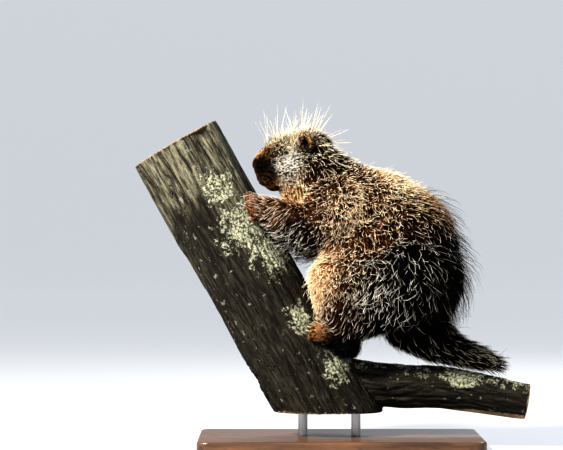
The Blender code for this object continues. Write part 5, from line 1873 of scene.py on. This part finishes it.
# %% Eye, claw and stand finishes
eye_finish, tree, shader = new_finish("eye", 0.06, Coat_Weight=1.0, Coat_Roughness=0.02)
gaze = attribute(tree, "gaze", "Fac")
iris = mix_node(tree, range_node(tree, gaze, 0.86, 0.90), (0.040, 0.015, 0.007), (0.003, 0.002, 0.002))
white = mix_node(tree, range_node(tree, gaze, 0.50, 0.58), (0.020, 0.012, 0.010), iris)
grained(tree, shader, white, 1600.0, 0.4)
for ball in eyeballs.values():
    wear(ball, eye_finish)

claw_finish, tree, shader = new_finish("claw_horn", 0.30, Coat_Weight=0.4)
height = grained(tree, shader, (0.200, 0.150, 0.100), 420.0, 0.7)
bumped(tree, shader, height, 0.3, 0.0003)
for piece in claw_pieces:
    wear(piece, claw_finish)


def stretched(tree, scale):
    """Object coordinates squeezed along one way, so that a pattern runs along it."""
    mapping = tree.nodes.new("ShaderNodeMapping")
    mapping.inputs["Scale"].default_value = scale
    tree.links.new(object_coordinates(tree), mapping.inputs["Vector"])
    return mapping.outputs["Vector"]


board_finish, tree, shader = new_finish("walnut_board", 0.36, Coat_Weight=0.25, Coat_Roughness=0.25)
figure = noise_node(tree, stretched(tree, (1.0, 14.0, 14.0)), 7.0, 6.0, 0.65)
pores = noise_node(tree, stretched(tree, (6.0, 160.0, 60.0)), 9.0, 2.0)
wood = mix_node(tree, range_node(tree, figure, 0.35, 0.68), (0.050, 0.024, 0.012), (0.145, 0.070, 0.032))
wood = mix_node(tree, range_node(tree, pores, 0.56, 0.70, 0.0, 0.7), wood, (0.022, 0.011, 0.006))
grained(tree, shader, wood, 30.0, 0.3)
tree.links.new(range_node(tree, pores, 0.3, 0.8, 0.32, 0.55), shader.inputs["Roughness"])
bumped(tree, shader, pores, 0.12, 0.0004)
wear(board, board_finish)

steel_finish, tree, shader = new_finish("brushed_steel", 0.32, Metallic=1.0)
streak = noise_node(tree, stretched(tree, (1.0, 1.0, 60.0)), 60.0, 3.0)
grained(tree, shader, (0.42, 0.42, 0.43), 260.0, 0.15)
tree.links.new(range_node(tree, streak, 0.3, 0.7, 0.24, 0.42), shader.inputs["Roughness"])
for number in (1, 2):
    wear(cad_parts[f"stand_rod_{number}"], steel_finish)
print("finishes:", [finish.name for finish in bpy.data.materials if finish.users])

# %% [markdown]
# Bark is grey-brown and weathered, with pale flecks and a yellow-green crust of lichen. Its furrows and
# cracks are darkened with painted shadow, and its dark colours lower down are partly painted shadow too.
# Higher up it is painted pale in strands, as sunlit bark. Sawn ends show rings. All of it is read from what
# the limb's mesh stores: how far a place is from the heart, where it lies in the grain, how much painted
# shadow its cracks take, and how much painted sunlight it takes.

# %% Bark
set_values(limb.data, "lichen", lichen_share())
bark_finish, tree, shader = new_finish("weathered_bark", 0.88, Specular_IOR_Level=0.12)
grain_vector = attribute(tree, "grain", "Vector")
strands = noise_node(tree, grain_vector, 190.0, 5.0, 0.62)
broad = noise_node(tree, grain_vector, 26.0, 3.0)
# These bark colours are dark partly as painted shadow: below the sunlit part, the limb is painted as bark
# in shade.
bark = mix_node(tree, range_node(tree, broad, 0.36, 0.64), (0.006, 0.005, 0.004), (0.021, 0.019, 0.014))
bark = mix_node(tree, range_node(tree, strands, 0.46, 0.70, 0.0, 0.8), bark, (0.050, 0.046, 0.034))
bark = mix_node(tree, range_node(tree, strands, 0.44, 0.28, 0.0, 0.80), bark, (0.006, 0.005, 0.004))
# Painted sunlight: the limb's upper part takes a pale grey in strands, as bark in sunlight.
sunlit_strands = range_node(tree, strands, 0.40, 0.60)
sunlit_bark = mix_node(tree, sunlit_strands, (0.030, 0.028, 0.020), (0.185, 0.175, 0.125))
bark = mix_node(tree, attribute(tree, "painted_sunlight", "Fac"), bark, sunlit_bark)


def hairline(tree, vector, scale, width):
    """1 on fine cracks: the places where a noise is close to its middle value."""
    away = math_node(tree, "SUBTRACT", noise_node(tree, vector, scale, 2.0), 0.5)
    return range_node(tree, math_node(tree, "ABSOLUTE", away), width, 0.0)


wide_splits = hairline(tree, grain_vector, 55.0, 0.022)
fine_splits = hairline(tree, grain_vector, 120.0, 0.030)
splits = math_node(tree, "MAXIMUM", wide_splits, fine_splits)
splits = math_node(tree, "MULTIPLY", splits, range_node(tree, broad, 0.35, 0.60))
# Painted shadow: the fine cracks are darkened.
bark = mix_node(tree, math_node(tree, "MULTIPLY", splits, 0.85), bark, (0.014, 0.010, 0.007))
flecks = noise_node(tree, object_coordinates(tree), 75.0, 3.0, 0.6)
bark = mix_node(tree, range_node(tree, flecks, 0.64, 0.70, 0.0, 0.7), bark, (0.220, 0.220, 0.190))
crust_noise = noise_node(tree, object_coordinates(tree), 60.0, 8.0, 0.78)
crust_edge = math_node(tree, "ADD", attribute(tree, "lichen", "Fac"),
                       math_node(tree, "MULTIPLY", math_node(tree, "SUBTRACT", crust_noise, 0.5), 3.2))
crust = range_node(tree, crust_edge, 0.52, 0.58)
grit = noise_node(tree, object_coordinates(tree), 250.0, 3.0, 0.75)
green = mix_node(tree, range_node(tree, grit, 0.42, 0.56), (0.040, 0.040, 0.026), (0.390, 0.395, 0.290))
bark = mix_node(tree, crust, bark, green)
# Painted shadow: the furrows and cracks are darkened.
crack_shadow_mask = attribute(tree, "cracks", "Fac")
bark = mix_node(tree, range_node(tree, crack_shadow_mask, 0.25, 0.95, 0.0, 0.92), bark, (0.012, 0.009, 0.006))
wander = math_node(tree, "MULTIPLY", noise_node(tree, object_coordinates(tree), 22.0, 2.0), 9.0)
rings = math_node(tree, "MULTIPLY", attribute(tree, "heart", "Fac"), RING_PACE)
rings = math_node(tree, "SINE", math_node(tree, "ADD", rings, wander))
sawn = mix_node(tree, range_node(tree, rings, -0.6, 1.0), (0.340, 0.250, 0.155), (0.200, 0.130, 0.072))
bark = mix_node(tree, attribute(tree, "sawn", "Fac"), bark, sawn)
height = grained(tree, shader, bark, 520.0, 0.45)
relief_height = math_node(tree, "ADD", strands, math_node(tree, "MULTIPLY", height, 0.3))
relief_height = math_node(tree, "SUBTRACT", relief_height, math_node(tree, "MULTIPLY", splits, 0.8))
crust_height = math_node(tree, "MULTIPLY", crust, math_node(tree, "ADD", grit, 0.1))
relief_height = math_node(tree, "ADD", relief_height, crust_height)
bumped(tree, shader, relief_height, 0.9, 0.0028)
wear(limb, bark_finish)
print("bark finish has", len(tree.nodes), "nodes")

# %% [markdown]
# ## Bodies, nodes and slots
# The model is one still body, so every piece rides on it. The skin stands for all the nodes of flesh, the
# eyeballs for the eyes, the limb and the board for theirs. Slots name the finish that each takes.

# %% Tie the pieces to the frame
FLESH_NODES = ["head", "neck", "torso", "tail", "ear_left", "ear_right"]
FLESH_NODES += [f"{which}{part}_{side_name}" for which, side_name in SETBACK for part in ("leg", "paw")]
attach(skin, "root")
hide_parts(*FLESH_NODES)
for (layer, part), piece in coat_pieces.items():
    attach(piece, "root")
for piece in [whisker_piece] + claw_pieces:
    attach(piece, "root")
for side_name, ball in eyeballs.items():
    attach(ball, "root")
    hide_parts(f"eye_{side_name}")
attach(limb, "root")
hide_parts("perch_limb")
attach(board, "root")
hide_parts("stand_base")
print("skin stands for", len(FLESH_NODES), "nodes")

# %% [markdown]
# ## Studio
# The floor sweeps up into a backdrop all round, far away, so that no horizon shows from any side. A large
# key lamp stands high on the left like a low sun, a broad fill keeps the shade open, and a rim lamp behind
# lights the tips of the hairs.

# %% Floor and backdrop
FLOOR_REACH, SWEEP, WALL = 13.0, 3.0, 4.5
SWEEP_STEPS = 8
bm = bmesh.new()
profile = [bm.verts.new((reach, 0, 0)) for reach in (0.001, 2.0, FLOOR_REACH - SWEEP)]
for step in range(1, SWEEP_STEPS + 1):
    turn = math.pi / 2 * step / SWEEP_STEPS
    place = (FLOOR_REACH - SWEEP + SWEEP * math.sin(turn), 0, SWEEP - SWEEP * math.cos(turn))
    profile.append(bm.verts.new(place))
profile.append(bm.verts.new((FLOOR_REACH, 0, WALL)))
edges = [bm.edges.new(pair) for pair in zip(profile, profile[1:])]
bmesh.ops.spin(bm, geom=profile + edges, axis=(0, 0, 1), cent=(0, 0, 0), angle=math.tau, steps=64,
               use_merge=True)
bmesh.ops.remove_doubles(bm, verts=bm.verts, dist=0.002)
floor = new_piece("studio_floor", bm)
if floor.data.polygons[0].normal.z < 0:
    floor.data.flip_normals()
smooth_shaded(floor)
floor_finish, tree, shader = new_finish("studio_paper", 0.75)
grained(tree, shader, (0.22, 0.22, 0.22), 40.0, 0.04)
shader.inputs["Emission Color"].default_value = (0.90, 0.94, 1.0, 1.0)
shader.inputs["Emission Strength"].default_value = 0.42
wear(floor, floor_finish)
print("backdrop radius", FLOOR_REACH, "m")


# %% Lamps
LAMP_AIM = Vector((-0.02, 0, 0.33))


def lamp(name, place, size, power, colour):
    """A round lamp, turned to the middle of the animal."""
    data = bpy.data.lights.new(name, "AREA")
    data.shape = "DISK"
    data.size = size
    data.energy = power
    data.color = colour
    made = bpy.data.objects.new(name, data)
    made.location = place
    made.rotation_euler = (LAMP_AIM - Vector(place)).to_track_quat("-Z", "Y").to_euler()
    bpy.context.scene.collection.objects.link(made)


lamp("key", (-1.8, -1.6, 2.2), 0.5, 275, (1.0, 0.945, 0.86))
lamp("fill", (2.4, -2.4, 1.0), 2.2, 11, (0.86, 0.92, 1.0))
lamp("rim", (1.0, 2.2, 2.0), 1.2, 42, (0.95, 0.97, 1.0))
world = bpy.data.worlds.new("studio")
world.use_nodes = True
world.node_tree.nodes["Background"].inputs["Color"].default_value = (0.86, 0.91, 1.0, 1.0)
world.node_tree.nodes["Background"].inputs["Strength"].default_value = 0.24
bpy.context.scene.world = world
bpy.context.scene.view_settings.view_transform = "Standard"
bpy.context.scene.view_settings.look = "High Contrast"
print("lamps:", [light.name for light in bpy.data.lights])

# %% Sizes and finish
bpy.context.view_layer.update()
shown = [piece for piece in bpy.data.objects if piece.type == "MESH" and not piece.hide_render]
print("triangles in all:", sum(triangles_of(piece) for piece in shown))
